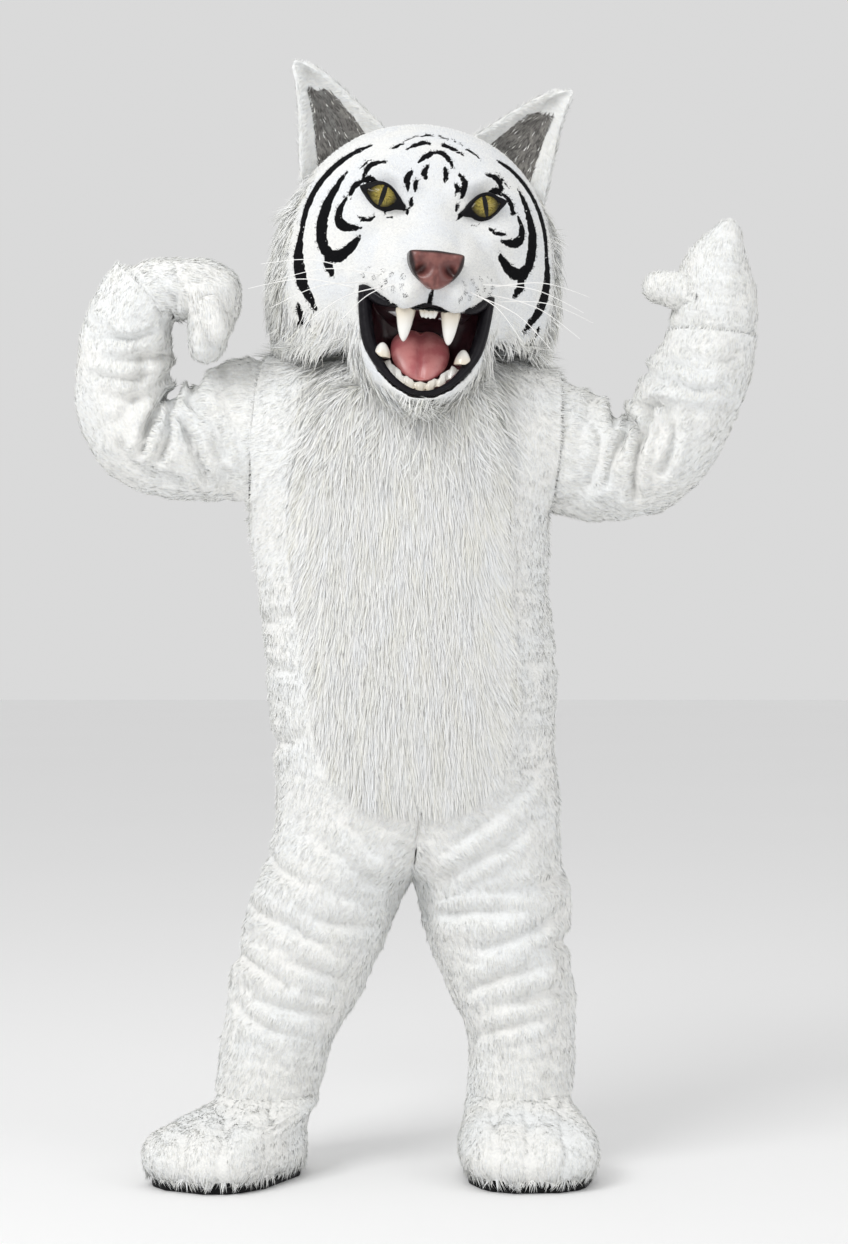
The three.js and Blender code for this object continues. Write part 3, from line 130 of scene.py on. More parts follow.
# %% Finishes
class Finish:
    """A material made of one Principled shader and the nodes that feed it."""

    def __init__(self, name, roughness=0.8, **constants):
        self.material = bpy.data.materials.new(name)
        self.material.use_nodes = True
        self.tree = self.material.node_tree
        self.shader = self.tree.nodes["Principled BSDF"]
        self.shader.inputs["Roughness"].default_value = roughness
        for socket, value in constants.items():
            self.shader.inputs[socket.replace("_", " ")].default_value = value

    def node(self, kind, settings=None, inputs=None, output=0):
        made = self.tree.nodes.new(kind)
        for name, value in (settings or {}).items():
            if name == "stops":
                self._stops(made.color_ramp.elements, value)
            else:
                setattr(made, name, value)
        for name, value in (inputs or {}).items():
            if isinstance(value, Wire):
                self.tree.links.new(value.socket, made.inputs[name])
            else:
                made.inputs[name].default_value = value
        return Wire(self, made.outputs[output])

    @staticmethod
    def _stops(elements, stops):
        while len(elements) < len(stops):
            elements.new(1)
        for element, (place, colour) in zip(elements, stops):
            element.position = place
            element.color = (*colour, 1)

    def place(self):
        return self.node("ShaderNodeTexCoord", output="Object")

    def parts(self, vector, *names):
        """The named parts of a vector, as wires."""
        split = self.node("ShaderNodeSeparateXYZ", {}, {"Vector": vector}).socket.node
        return [Wire(self, split.outputs[name]) for name in names]

    def noise(self, scale, detail=3, vector=None):
        return self.node("ShaderNodeTexNoise", {},
                         {"Vector": vector or self.place(), "Scale": scale, "Detail": detail})

    def ramp(self, factor, stops, blend="LINEAR"):
        made = self.node("ShaderNodeValToRGB", {"stops": stops}, {0: factor})
        made.socket.node.color_ramp.interpolation = blend
        return made

    def mix(self, factor, first, second, blend="MIX"):
        return self.node("ShaderNodeMix", {"data_type": "RGBA", "blend_type": blend},
                         {MIX["factor"]: factor, MIX["first"]: colour(first), MIX["second"]: colour(second)},
                         output=MIX["result"])

    def step(self, wire, low, high):
        return self.node("ShaderNodeMapRange", {"interpolation_type": "SMOOTHSTEP"},
                         {"Value": wire, "From Min": low, "From Max": high})

    def bump(self, height, strength, distance):
        return self.node("ShaderNodeBump", {},
                         {"Height": height, "Strength": strength, "Distance": distance})

    def feed(self, **wires):
        for socket, wire in wires.items():
            self.tree.links.new(wire.socket, self.shader.inputs[socket.replace("_", " ")])
        return self.material


def colour(value):
    """A colour as a socket takes it, or the wire that it already is."""
    return value if isinstance(value, Wire) else (*value, 1)


# %% [markdown]
# ## Small tools for meshes
# A solid from the frame is a heap of loose triangles. `refined` copies one, merges its doubles, turns the
# triangles back into quads, creases its hard edges and subdivides it, which gives a smooth thin wall of
# the same form. The other helpers read and write all the vertices of a piece at once.

# %% Copies of solids
TOUCH = 2e-5  # vertices nearer than this are one
QUADS = {"bend": math.radians(40), "skew": math.radians(60)}  # how far two triangles of one quad may differ


def shown_alone(piece):
    bpy.ops.object.select_all(action="DESELECT")
    piece.select_set(True)
    bpy.context.view_layer.objects.active = piece


def copied(node, name):
    """A copy of a solid under a new name, with its triangles joined at their shared corners."""
    piece = bpy.data.objects.new(name, nodes[node].data.copy())
    bpy.context.collection.objects.link(piece)
    piece.data.materials.clear()
    shown_alone(piece)
    bpy.ops.object.mode_set(mode="EDIT")
    bpy.ops.mesh.select_mode(type="EDGE")
    bpy.ops.mesh.select_all(action="SELECT")
    bpy.ops.mesh.remove_doubles(threshold=TOUCH)
    bpy.ops.mesh.tris_convert_to_quads(face_threshold=QUADS["bend"], shape_threshold=QUADS["skew"])
    bpy.ops.object.mode_set(mode="OBJECT")
    return piece


def applied(piece, kind, **settings):
    shown_alone(piece)
    modifier = piece.modifiers.new(kind.title(), kind)
    for name, value in settings.items():
        setattr(modifier, name, value)
    bpy.ops.object.modifier_apply(modifier=modifier.name)
    return piece


def refined(node, name, levels=2, hard=50):
    """A smooth copy of a solid: edges that turn by more than hard degrees keep their corner."""
    piece = copied(node, name)
    bpy.ops.object.mode_set(mode="EDIT")
    bpy.ops.mesh.select_all(action="DESELECT")
    bpy.ops.mesh.edges_select_sharp(sharpness=math.radians(hard))
    bpy.ops.transform.edge_crease(value=1)
    bpy.ops.object.mode_set(mode="OBJECT")
    applied(piece, "SUBSURF", levels=levels, render_levels=levels)
    return smooth(piece)


def smooth(piece, hard=60):
    shown_alone(piece)
    bpy.ops.object.shade_smooth_by_angle(angle=math.radians(hard))
    return piece


# %% Arrays of vertices
def read(items, name, width):
    values = np.empty(len(items) * width, np.float32)
    items.foreach_get(name, values)
    return values.reshape(-1, width).astype(float)


def places(piece):
    return read(piece.data.vertices, "co", 3)


def directions(piece):
    return read(piece.data.vertex_normals, "vector", 3)


def move_to(piece, points):
    piece.data.vertices.foreach_set("co", np.ascontiguousarray(points, np.float32).ravel())
    piece.data.update()


def unit(vectors):
    return vectors / np.maximum(np.linalg.norm(vectors, axis=-1, keepdims=True), 1e-9)


def dot(first, second):
    return (first * second).sum(-1, keepdims=True)


def ease(low, high, values):
    """0 below low, 1 above high, and a soft step between."""
    share = np.clip((values - low) / (high - low), 0, 1)
    return share * share * (3 - 2 * share)


SWELL = {"ways": 6, "broad": 0.6, "fine": 1.6}  # waves that run six ways, broader and finer than asked


def swell(points, wave, seed):
    """An uneven field from about -1 to 1 whose hills lie about a wave apart."""
    dice, count = np.random.default_rng(seed), SWELL["ways"]
    ways = unit(dice.normal(size=(count, 3)))
    pitch = 2 * math.pi / wave * dice.uniform(SWELL["broad"], SWELL["fine"], count)
    return np.sin(points @ ways.T * pitch + dice.uniform(0, 2 * math.pi, count)).sum(1) / (count / 2)


# %% [markdown]
# ## Chains down the limbs
# Creases and pile both follow the body's limbs. A chain of points runs down the inside of each limb, and
# every point of the cloth knows how far along its chain it lies, at which angle round it, and which way
# is out.

# %% Chains
CHAINS = {
    "body_right": [(-0.03, 0, 0.02), (-0.03, 0, -0.285), (-0.007, 0, -0.61), (0, 0, -0.80),
                   (-0.11, 0, -0.93), (-0.2615, 0, -1.30)],
    "body_left": [(-0.03, 0, 0.02), (-0.03, 0, -0.285), (-0.007, 0, -0.61), (0, 0, -0.80),
                  (0.10, 0, -0.93), (0.1775, 0, -1.30)],
    "arm_right": [(-0.263, 0, -0.155), (-0.398, -0.010, -0.167), (-0.478, -0.022, -0.150),
                  (-0.511, -0.034, -0.075), (-0.508, -0.046, 0.012), (-0.472, -0.062, 0.094)],
    "arm_left": [(0.250, 0, -0.170), (0.357, -0.012, -0.196), (0.410, -0.020, -0.190),
                 (0.458, -0.030, -0.134), (0.494, -0.042, -0.042), (0.512, -0.052, 0.022)],
    "hand_right": [(-0.472, -0.062, 0.094), (-0.438, -0.070, 0.104), (-0.402, -0.082, 0.102),
                   (-0.370, -0.094, 0.088), (-0.361, -0.102, 0.050), (-0.363, -0.104, -0.023)],
    "hand_left": [(0.512, -0.052, 0.022), (0.520, -0.056, 0.096), (0.526, -0.064, 0.158),
                  (0.543, -0.071, 0.218)],
}
AHEAD = np.array([0, -1, 0])


def along(points, chain):
    """How far along a chain each point lies, its angle round it in degrees, the way out and the way down."""
    knots = np.array(CHAINS[chain])
    nearest = np.full(len(points), np.inf)
    reach, foot, way = np.zeros(len(points)), np.zeros_like(points), np.zeros_like(points)
    start = 0
    for first, second in zip(knots[:-1], knots[1:]):
        run = second - first
        length = np.linalg.norm(run)
        share = np.clip((points - first) @ run / length**2, 0, 1)
        here = first + share[:, None] * run
        gap = np.linalg.norm(points - here, axis=1)
        closer = gap < nearest
        nearest[closer], foot[closer], way[closer] = gap[closer], here[closer], run / length
        reach[closer] = start + share[closer] * length
        start += length
    out = points - foot
    front = unit(AHEAD - dot(way, AHEAD) * way)
    beside = np.cross(way, front)
    angle = np.degrees(np.arctan2(dot(out, beside), dot(out, front)))[:, 0]
    return reach, angle, unit(out), way


print("chains:", len(CHAINS))

# %% [markdown]
# ## Creases, listed in tables
# Stuffed and worn plush creases where a limb bends and where the suit slumps: deep troughs at the elbows
# and wrists, soft rolls across the legs, slack dents over the hips. Each row of a table is one crease: how
# far down the chain it lies, its angle round the limb (0 ahead, 90 and -90 at the sides), its span, then
# its width, its depth, and how far one end slants past the other. Cloth simulation would move the seams;
# a table keeps them where the solids have them.

# %% Tables of creases: at mm, angle deg, span deg, wide mm, deep mm, slant mm
CREASES = {
    "body_right": [
        (470, 62, 70, 13, 4, 22), (560, 70, 60, 11, 4, -18), (690, 74, 84, 14, 6, 26),
        (772, 40, 70, 12, 6, -30), (838, 66, 90, 13, 7, 24), (905, 30, 80, 12, 7, -26),
        (968, 8, 90, 13, 8, 20), (1010, 60, 90, 12, 7, -22), (1058, -10, 100, 12, 8, 24),
        (1102, 44, 110, 13, 9, -16), (1150, -8, 90, 12, 8, 18), (1190, 58, 100, 12, 7, -20),
        (1228, 0, 120, 12, 8, 12), (1268, 40, 90, 11, 6, -12), (500, 140, 80, 14, 5, 24),
        (640, 170, 70, 14, 5, -26), (800, 150, 90, 13, 7, 30), (862, -170, 80, 14, 7, -20),
        (985, 160, 100, 13, 8, 24), (1070, 180, 110, 12, 8, -20), (1165, 165, 100, 12, 8, 22),
        (1245, -175, 110, 12, 7, -14), (330, 165, 60, 16, 4, 30),
    ],
    "body_left": [
        (455, -64, 64, 12, 4, -20), (585, -72, 70, 12, 5, 22), (668, -66, 60, 12, 4, -18),
        (758, -50, 84, 13, 6, 28), (842, -70, 90, 13, 7, -22), (898, -34, 76, 12, 7, 26),
        (950, -10, 90, 12, 9, -18), (998, -56, 100, 13, 8, 24), (1032, 10, 90, 12, 9, -16),
        (1078, -30, 110, 12, 8, 22), (1120, -74, 90, 12, 7, -16), (1152, -6, 100, 12, 9, 14),
        (1196, -40, 110, 12, 8, -18), (1240, 0, 110, 11, 8, 10), (520, -150, 80, 14, 5, -22),
        (700, -140, 70, 14, 5, 20), (815, -155, 90, 13, 7, -28), (880, 178, 80, 14, 7, 22),
        (975, -165, 100, 13, 8, -20), (1055, -175, 110, 12, 8, 22), (1140, -160, 100, 12, 8, -18),
        (1225, 175, 110, 12, 7, 14), (300, -160, 60, 16, 4, -26),
    ],
    "arm_right": [
        (60, 40, 110, 12, 5, 22), (112, 62, 120, 11, 8, -14), (150, 70, 130, 11, 10, 10),
        (182, 78, 140, 10, 16, 0), (214, 66, 130, 11, 12, -12), (248, 50, 110, 11, 8, 18),
        (290, 20, 110, 12, 6, -22), (330, 74, 110, 11, 6, 16), (372, 30, 130, 10, 8, 30),
        (404, -20, 120, 10, 6, -18), (90, -30, 80, 14, 4, 20), (196, -20, 60, 13, 4, -24),
        (140, 150, 110, 12, 8, 12), (190, 160, 120, 11, 11, -10), (232, 150, 110, 12, 8, 14),
        (320, 170, 110, 12, 6, -18),
    ],
    "arm_left": [
        (40, -50, 110, 12, 5, -20), (84, -66, 120, 11, 8, 14), (124, -74, 130, 10, 11, -8),
        (158, -80, 140, 10, 17, 0), (190, -66, 130, 11, 12, 10), (226, -52, 110, 11, 7, -16),
        (262, -16, 110, 12, 6, 22), (300, -70, 110, 11, 6, -14), (338, -28, 130, 11, 5, 18),
        (70, 30, 80, 14, 4, -20), (172, 24, 60, 13, 4, 22), (120, -150, 110, 12, 8, -12),
        (164, -160, 120, 11, 11, 10), (206, -150, 110, 12, 8, -14), (290, -170, 110, 12, 6, 16),
    ],
    "hand_right": [
        (30, 60, 120, 9, 6, 8), (62, 74, 110, 9, 8, -8), (96, 60, 130, 9, 6, 10), (44, 160, 110, 10, 5, 8),
        (84, -160, 110, 10, 5, -8),
    ],
    "hand_left": [
        (28, -10, 130, 9, 4, 8), (70, -60, 110, 9, 5, -8), (120, 20, 90, 9, 4, 10), (60, 160, 110, 10, 4, 8),
    ],
}
SLUMP = {"wave": 0.095, "deep": 2.6, "ripple": 0.038, "ripple_deep": 1.0}  # waves in m, depths in mm
DEEPER = 1.35  # the whole table's depth, times this

# %% Folds across a limb, seen from the front: x and z in mm for start, middle and end, then wide and deep
FOLDS = {
    "arm_right": [
        ((-436, -80), (-454, -122), (-474, -180), 8, 19), ((-424, -84), (-394, -150), (-362, -228), 8, 18),
        ((-432, -96), (-424, -140), (-440, -192), 7, 12), ((-405, -92), (-358, -116), (-326, -186), 9, 11),
        ((-466, -50), (-505, -60), (-558, -50), 7, 10), ((-458, 22), (-505, 8), (-562, 14), 7, 8),
        ((-512, -172), (-470, -215), (-412, -232), 9, 9), ((-470, -20), (-490, -100), (-520, -130), 9, 6),
    ],
    "arm_left": [
        ((412, -100), (382, -168), (374, -256), 8, 18), ((402, -106), (352, -158), (326, -232), 8, 15),
        ((424, -96), (444, -150), (424, -214), 8, 12), ((446, -64), (474, -78), (528, -74), 7, 9),
        ((462, -10), (500, -30), (548, -22), 7, 7), ((300, -120), (316, -180), (300, -240), 9, 7),
    ],
    "hand_right": [((-470, 84), (-452, 62), (-428, 52), 7, 7), ((-420, 128), (-398, 96), (-392, 74), 8, 8)],
    "hand_left": [((474, 40), (506, 24), (566, 12), 8, 11), ((500, 96), (530, 84), (560, 92), 8, 6)],
}

# %% Strokes: curves through three places, thick in the middle and thin at the ends
CURVE_STEPS = 14
THICK = {"ends": 0.28, "more": 0.72, "power": 0.7}  # shares of the half width


def stroke_points(start, middle, end):
    share = np.linspace(0, 1, CURVE_STEPS)[:, None]
    start, middle, end = map(np.array, (start, middle, end))
    control = 2 * middle - (start + end) / 2
    return (1 - share) ** 2 * start + 2 * share * (1 - share) * control + share**2 * end


def stroke_gap(spots, stroke, half):
    """The least distance from each spot to a stroke's edge, negative inside it."""
    share = np.linspace(0, 1, len(stroke))
    widths = half * (THICK["ends"] + THICK["more"] * np.sin(math.pi * share) ** THICK["power"])
    gaps = np.full(len(spots), np.inf)
    for first, second, wide, wider in zip(stroke[:-1], stroke[1:], widths[:-1], widths[1:]):
        run = second - first
        part = np.clip((spots - first) @ run / (run @ run), 0, 1)
        here = first + part[:, None] * run
        gaps = np.minimum(gaps, np.linalg.norm(spots - here, axis=1) - wide - (wider - wide) * part)
    return gaps


# %% Pushing the cloth in and out
BANKS = {"crease": (0.42, 1.9), "fold": (0.35, 2)}  # how high, and how many widths from the middle
WANDER = {"mm": 6, "turns": 2.3}  # a crease doesn't run straight
FADE = 0.7  # the share of a crease's half span over which its end fades


def trough(across, bank):
    """-1 in the middle of a trough, with a low bank on either side."""
    high, at = BANKS[bank]
    return high * np.exp(-(np.abs(across) - at) ** 2) - np.exp(-across**2)


def crease_depth(points, chain):
    """How far each point is pushed out, in metres, and which way out is."""
    reach, angle, out, _ = along(points, chain)
    depth = swell(points, SLUMP["wave"], 3) * SLUMP["deep"]
    depth = depth + swell(points, SLUMP["ripple"], 4) * SLUMP["ripple_deep"]
    for at, middle, span, wide, deep, slant in CREASES[chain]:
        turn = ((angle - middle + 180) % 360 - 180) / (span / 2)
        wander = WANDER["mm"] * np.sin(turn * WANDER["turns"] + at)
        across = (reach / MM - at - slant / 2 * turn + wander) / wide
        depth += DEEPER * deep * ease(0, FADE, 1 - np.abs(turn)) * trough(across, "crease")
    spots = points[:, [0, 2]] / MM
    for start, middle, end, wide, deep in FOLDS.get(chain, []):
        gap = np.abs(stroke_gap(spots, stroke_points(start, middle, end), 0)) / wide
        depth += deep * trough(gap, "fold")
    return depth * MM, out


def creased(piece, chain, hold):
    """Pushes a thin wall in and out by its limb's creases; hold fades them to nothing where it is 0."""
    points = places(piece)
    depth, out = crease_depth(points, chain)
    move_to(piece, points + out * (depth * hold(points))[:, None])


print("creases:", sum(len(rows) for rows in CREASES.values()))

# %% [markdown]
# ## White plush
# The cloth under the pile is warm white with faint cool clouds, and it is bumpy at the size of a tuft, so
# that it still looks like plush wherever the pile opens. A grey of painted shade fills the hollows between
# the tufts.

# %% The cloth's finish
# the third colour is painted shade, for the hollows between the tufts
WHITE = {"warm": (0.92, 0.915, 0.89), "cool": (0.89, 0.905, 0.905), "painted_shade": (0.76, 0.765, 0.76)}


def plush_finish(name, warm, cool, painted_shade, tuft=170):
    finish = Finish(name, roughness=0.92, Specular_IOR_Level=0.15, Sheen_Weight=0.3, Sheen_Roughness=0.5)
    clouds = finish.noise(scale=9, detail=3)
    tufts = finish.noise(scale=tuft, detail=4)
    body = finish.mix(finish.step(clouds, 0.38, 0.62), warm, cool)
    # painted shade: the cloth turns grey where the tufts' bump is low, in the hollows between tufts
    base = finish.mix(finish.step(tufts, 0.56, 0.30) * 0.55, body, painted_shade)
    return finish.feed(Base_Color=base, Normal=finish.bump(tufts, strength=0.55, distance=0.004))


plush = plush_finish("white plush", **WHITE)
# its third colour is painted shade in the hollows between the tufts
pile_cloth = plush_finish("long pile cloth", (0.91, 0.91, 0.87), (0.88, 0.89, 0.87), (0.78, 0.78, 0.76), 95)

# %% [markdown]
# ## The body, sleeves, mitts and thumbs
# Every panel keeps its own seams. The troughs fade out at the neck, the hems and the ends of the sleeves
# and mitts, where a piece meets the next, and panels of one limb share its table, so that a crease runs
# over the seam. The ends of the tubes go into one another, as they do when the suit is worn.

# %% The cloth of the suit
CLOTH = {
    "body_front_right": ("front_right", "body_right"), "body_back_right": ("back_right", "body_right"),
    "body_front_left": ("front_left", "body_left"), "body_back_left": ("back_left", "body_left"),
    "sleeve_right": ("sleeve_cloth_right", "arm_right"), "sleeve_left": ("sleeve_cloth_left", "arm_left"),
    "mitt_right": ("mitt_cloth_right", "hand_right"), "mitt_left": ("mitt_cloth_left", "hand_left"),
    "thumb_right": ("thumb_cloth_right", "hand_right"), "thumb_left": ("thumb_cloth_left", "hand_left"),
}
LEVELS = {"body": 2, "sleeve": 2, "mitt": 2, "thumb": 1}
FINER = ("body_front", "sleeve")  # their outer skins are cut once more, for the creases

# %% Where the cloth lies still: held at one height or reach, and free at the other
BELLY_LOW, BELLY_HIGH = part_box("belly_panel")
LEG_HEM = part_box("body_front_right")[0][2]
HELD = {"hem": (LEG_HEM + 0.006, LEG_HEM + 0.05), "neck": (-0.02, -0.16), "beside_belly": (0.15, 0.22),
        "below_belly": (-0.77, -0.83), "belly_x": -0.02, "start": (0.0, 0.04), "end": 0.03}


def hold_body(points):
    """1 on the free cloth, 0 at the neck and the hem and under the belly's own cloth."""
    belly = np.maximum(ease(*HELD["beside_belly"], np.abs(points[:, 0] - HELD["belly_x"])),
                       ease(*HELD["below_belly"], points[:, 2]))
    free = ease(*HELD["hem"], points[:, 2]) * ease(*HELD["neck"], points[:, 2])
    return free * np.where(points[:, 1] < 0, belly, 1)


def chain_length(chain):
    return along(np.array(CHAINS[chain][-1:]), chain)[0][0]


def hold_ends(chain):
    """1 along a limb, 0 at its two ends."""
    length = chain_length(chain)

    def hold(points):
        reach = along(points, chain)[0]
        return ease(*HELD["start"], reach) * ease(length, length - HELD["end"], reach)
    return hold


# %% The outer skin of a wall
OUTWARD = 0.1  # a face whose normal follows the way out by this much is on the outer skin


def outwards(chain):
    """Keeps the faces of a wall that look away from the limb's chain."""
    def keep(middles, ways):
        return (dot(ways, along(middles, chain)[2])[:, 0] > OUTWARD).astype(float)
    return keep


def cut_finer(piece, keep):
    """Cuts each kept face of a smooth wall into four."""
    shown_alone(piece)
    faces = piece.data.polygons
    chosen = keep(read(faces, "center", 3), read(faces, "normal", 3)) > 0
    bpy.ops.object.mode_set(mode="EDIT")
    bpy.ops.mesh.select_mode(type="FACE")
    bpy.ops.mesh.select_all(action="DESELECT")
    bpy.ops.object.mode_set(mode="OBJECT")
    faces.foreach_set("select", chosen)
    bpy.ops.object.mode_set(mode="EDIT")
    bpy.ops.mesh.subdivide(number_cuts=1, smoothness=1, quadcorner="INNERVERT")
    bpy.ops.object.mode_set(mode="OBJECT")
    return smooth(piece)


# %% Seams and hems: tubes that go into one another
TUCKED = {"deep": 0.0035, "reach": 0.010, "edge": 0.001}  # how far a sleeve's end goes into its armhole


def tucked(piece):
    points = places(piece)
    off = np.abs(points[:, 0])
    inner = ease(TUCKED["reach"], TUCKED["edge"], off - off.min())
    points[:, 0] -= np.sign(points[:, 0]) * TUCKED["deep"] * inner
    move_to(piece, points)


# At a wrist and an armhole the outer tube reaches a little way over the drawn-in end of the inner one.
ROLLED = {"reach": 0.020, "sleeve": (0.007, 0.0), "mitt": (0.008, 0.0)}
OVER = 0.005


def rolled(piece, chain, first, last):
    """Draws in a tube's two ends, by first at its start and by last at its far end."""
    points, length = places(piece), chain_length(chain)
    reach, _, out, way = along(points, chain)
    far_end = ease(length - ROLLED["reach"], length, reach)
    ends = first * ease(ROLLED["reach"], 0, reach) + last * far_end
    over = OVER * (last == 0) * far_end * (chain.startswith("arm"))
    move_to(piece, points - out * ends[:, None] + way * over[:, None])


def over_armhole(piece):
    points = places(piece)
    off = np.abs(points[:, 0])
    points[:, 0] += np.sign(points[:, 0]) * OVER * ease(ROLLED["reach"], 0, off.max() - off)
    move_to(piece, points)


ROOT = {"wider": 0.30, "into": 0.014, "down": 0.5, "from": 0.35}  # the left thumb grows broad out of its mitt


def rooted(piece):
    points = places(piece)
    low, high = points.min(0), points.max(0)
    near = ease(ROOT["from"], 1.0, (points[:, 0] - low[0]) / (high[0] - low[0]))
    middle = (low + high) / 2
    points[:, 1:] += (points[:, 1:] - middle[1:]) * (ROOT["wider"] * near)[:, None]
    points[:, 0] += ROOT["into"] * near
    points[:, 2] -= ROOT["down"] * ROOT["into"] * near
    move_to(piece, points)


# A leg's hem hangs lower in front, over the boot.
HEM = {"drop": 0.012, "reach": 0.060, "wave": 0.07, "uneven": 0.006, "front": (0.02, -0.08)}


def dropped(piece):
    points = places(piece)
    drop = HEM["drop"] * ease(*HEM["front"], points[:, 1]) + HEM["uneven"] * swell(points, HEM["wave"], 9)
    points[:, 2] -= drop * ease(HEM["reach"], 0, points[:, 2] - LEG_HEM)
    move_to(piece, points)


# %% Dressing the limbs
suit = {}
for node, (name, chain) in CLOTH.items():
    kind = node.split("_")[0]
    piece = refined(node, name, levels=LEVELS[kind])
    if kind == "sleeve":
        tucked(piece)
    if kind in ROLLED:
        rolled(piece, chain, *ROLLED[kind])
    if kind == "body":
        dropped(piece)
        over_armhole(piece)
    if node == "thumb_left":
        rooted(piece)
    if node.startswith(FINER):
        cut_finer(piece, outwards(chain))
    if kind != "thumb":
        creased(piece, chain, hold_body if kind == "body" else hold_ends(chain))
    piece.data.materials.append(plush)
    suit[node] = piece
    print(name, len(piece.data.polygons), "faces")

# %% [markdown]
# ## Boots
# Each boot is foam under plush. Its form has the grooves between the toes already. Here they are drawn in
# a little more, as the stitches through the foam do, and the foam swells softly between them.

# %% Boots
BOOT = {"swell": 0.0016, "wave": 0.06, "ahead": 0.25}
TOES = {"seams": (0.25, 0.49, 0.74), "wide": 0.009, "deep": 0.008, "facing": (-0.02, 0.25),
        "back": (0.26, 0.16)}


def facing_ahead(middles, ways):
    return (ways[:, 1] < -BOOT["ahead"]).astype(float)


for side in SIDES:
    boot = refined(f"boot_{side}", f"boot_cloth_{side}", levels=2, hard=55)
    cut_finer(boot, facing_ahead)
    points, ways = places(boot), directions(boot)
    low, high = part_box(f"boot_{side}")
    share = (points[:, 0] - low.x) / (high.x - low.x)
    push = swell(points, BOOT["wave"], 8) * BOOT["swell"]
    starts, ends = (low.y + reach for reach in TOES["back"])
    toes = ease(*TOES["facing"], -ways[:, 1]) * ease(starts, ends, points[:, 1])
    for seam in TOES["seams"]:
        gap = np.abs(share - seam) * (high.x - low.x)
        push -= TOES["deep"] * toes * np.exp(-(gap / TOES["wide"]) ** 2)
    move_to(boot, points + ways * push[:, None])
    boot.data.materials.append(plush)
    suit[f"boot_{side}"] = boot
    print(boot.name, len(boot.data.polygons), "faces")

# %% [markdown]
# ## The head's own frame
# The head is made straight and then turned and tilted on the neck. Its marks and its modelling are worked
# out in the straight frame, so that left and right can share their numbers.

# %% To and from the face
HEAD = {"x": -0.009, "z": 0.040, "yaw": math.radians(6.5), "roll": math.radians(5)}
YAW = np.array([[math.cos(HEAD["yaw"]), -math.sin(HEAD["yaw"]), 0],
                [math.sin(HEAD["yaw"]), math.cos(HEAD["yaw"]), 0], [0, 0, 1]])
ROLL = np.array([[math.cos(HEAD["roll"]), 0, math.sin(HEAD["roll"])], [0, 1, 0],
                 [-math.sin(HEAD["roll"]), 0, math.cos(HEAD["roll"])]])
NECK, NECK_MOVED = np.array([0, 0, HEAD["z"]]), np.array([HEAD["x"], 0, HEAD["z"]])


def onto_face(points):
    return (np.asarray(points) @ YAW.T - NECK) @ ROLL.T + NECK_MOVED


def off_face(points):
    """Points of the posed head, in the head's straight frame."""
    return ((np.asarray(points) - NECK_MOVED) @ ROLL + NECK) @ YAW


# %% [markdown]
# ## The foam head
# The shell, the muzzle and the chin are one skin on the real head, glued over carved foam. Their copies
# are joined and remeshed into one wall, smoothed where they meet, and then carved by a short table: a
# brow that scowls, hollows round the eyes, cheeks, the two whisker pads and the groove between them.

# %% One skin for the head
REMESH = {"voxel": 0.0063, "passes": 6}
SMOOTHING = 0.5  # how far each smoothing pass moves a vertex towards its neighbours


def joined(pieces, name):
    bpy.ops.object.select_all(action="DESELECT")
    for piece in pieces:
        piece.select_set(True)
    bpy.context.view_layer.objects.active = pieces[0]
    bpy.ops.object.join()
    pieces[0].name = name
    return pieces[0]


BACKING = {"deep": 0.006, "from": 0.062, "to": 0.070}  # foam behind the whisker pads, which are thin


def backed(node):
    piece = refined(node, node + "_backing", levels=1)
    points = places(piece)
    points[:, 1] += BACKING["deep"] * ease(BACKING["from"], BACKING["to"], points[:, 2])
    move_to(piece, points)
    return piece


forms = [refined(node, node + "_form", levels=1) for node in ("head_shell", "muzzle", "chin")]
head = joined([*forms, backed("muzzle")], "head_skin")
applied(head, "REMESH", mode="VOXEL", voxel_size=REMESH["voxel"], use_smooth_shade=True)
applied(head, "SMOOTH", factor=SMOOTHING, iterations=REMESH["passes"])

# %% Carving: x, z and reach in mm in the straight frame; push is forward, negative into the foam
CARVING = [
    {"x": 74, "z": 286, "wide": 40, "tall": 12, "push": 12, "slant": 0.42},   # brow, low towards the nose
    {"x": 44, "z": 262, "wide": 17, "tall": 16, "push": 8, "slant": 0.0},     # its inner end
    {"x": 90, "z": 262, "wide": 36, "tall": 9, "push": -6, "slant": 0.30},    # fold under the brow
    {"x": 124, "z": 196, "wide": 34, "tall": 24, "push": 11, "slant": 0.3},   # cheekbone
    {"x": 60, "z": 212, "wide": 28, "tall": 12, "push": -6, "slant": -0.5},   # under the inner eye
    {"x": 0, "z": 205, "wide": 32, "tall": 50, "push": 11, "slant": 0.0},     # bridge of the nose
    {"x": 45, "z": 160, "wide": 12, "tall": 40, "push": -6, "slant": 0.0},    # beside the bridge
    {"x": 44, "z": 76, "wide": 28, "tall": 23, "push": 28, "slant": 0.0},     # whisker pad
    {"x": 0, "z": 66, "wide": 8, "tall": 26, "push": -20, "slant": 0.0},      # groove between the pads
    {"x": 92, "z": 122, "wide": 28, "tall": 15, "push": -11, "slant": -0.2},  # behind the pad
    {"x": 0, "z": -94, "wide": 46, "tall": 26, "push": 8, "slant": 0.0},      # chin
]
PADS = {"x": 43, "z": 60, "wide": 27, "tall": 24, "droop": 17}  # mm: the pads hang over the upper lip
# The mouth's corners are drawn up. Each pair is where that begins and where it is full, in mm.
SNARL = {"corner": 116, "wide": 34, "lift": 24, "above": (-20, 50), "below": (134, 80)}
AHEAD_OF = {"carving": (0.02, -0.10), "snarl": (0.0, -0.08)}  # m: both fade out towards the back of the head


def snarl(straight):
    """Lifts the corners of the mouth, for points in the straight frame."""
    x, z = np.abs(straight[:, 0]) / MM, straight[:, 2] / MM
    lift = SNARL["lift"] * np.exp(-((x - SNARL["corner"]) / SNARL["wide"]) ** 2)
    lift *= ease(*SNARL["above"], z) * ease(*SNARL["below"], z) * ease(*AHEAD_OF["snarl"], straight[:, 1])
    return straight + np.column_stack([0 * x, 0 * x, lift * MM])


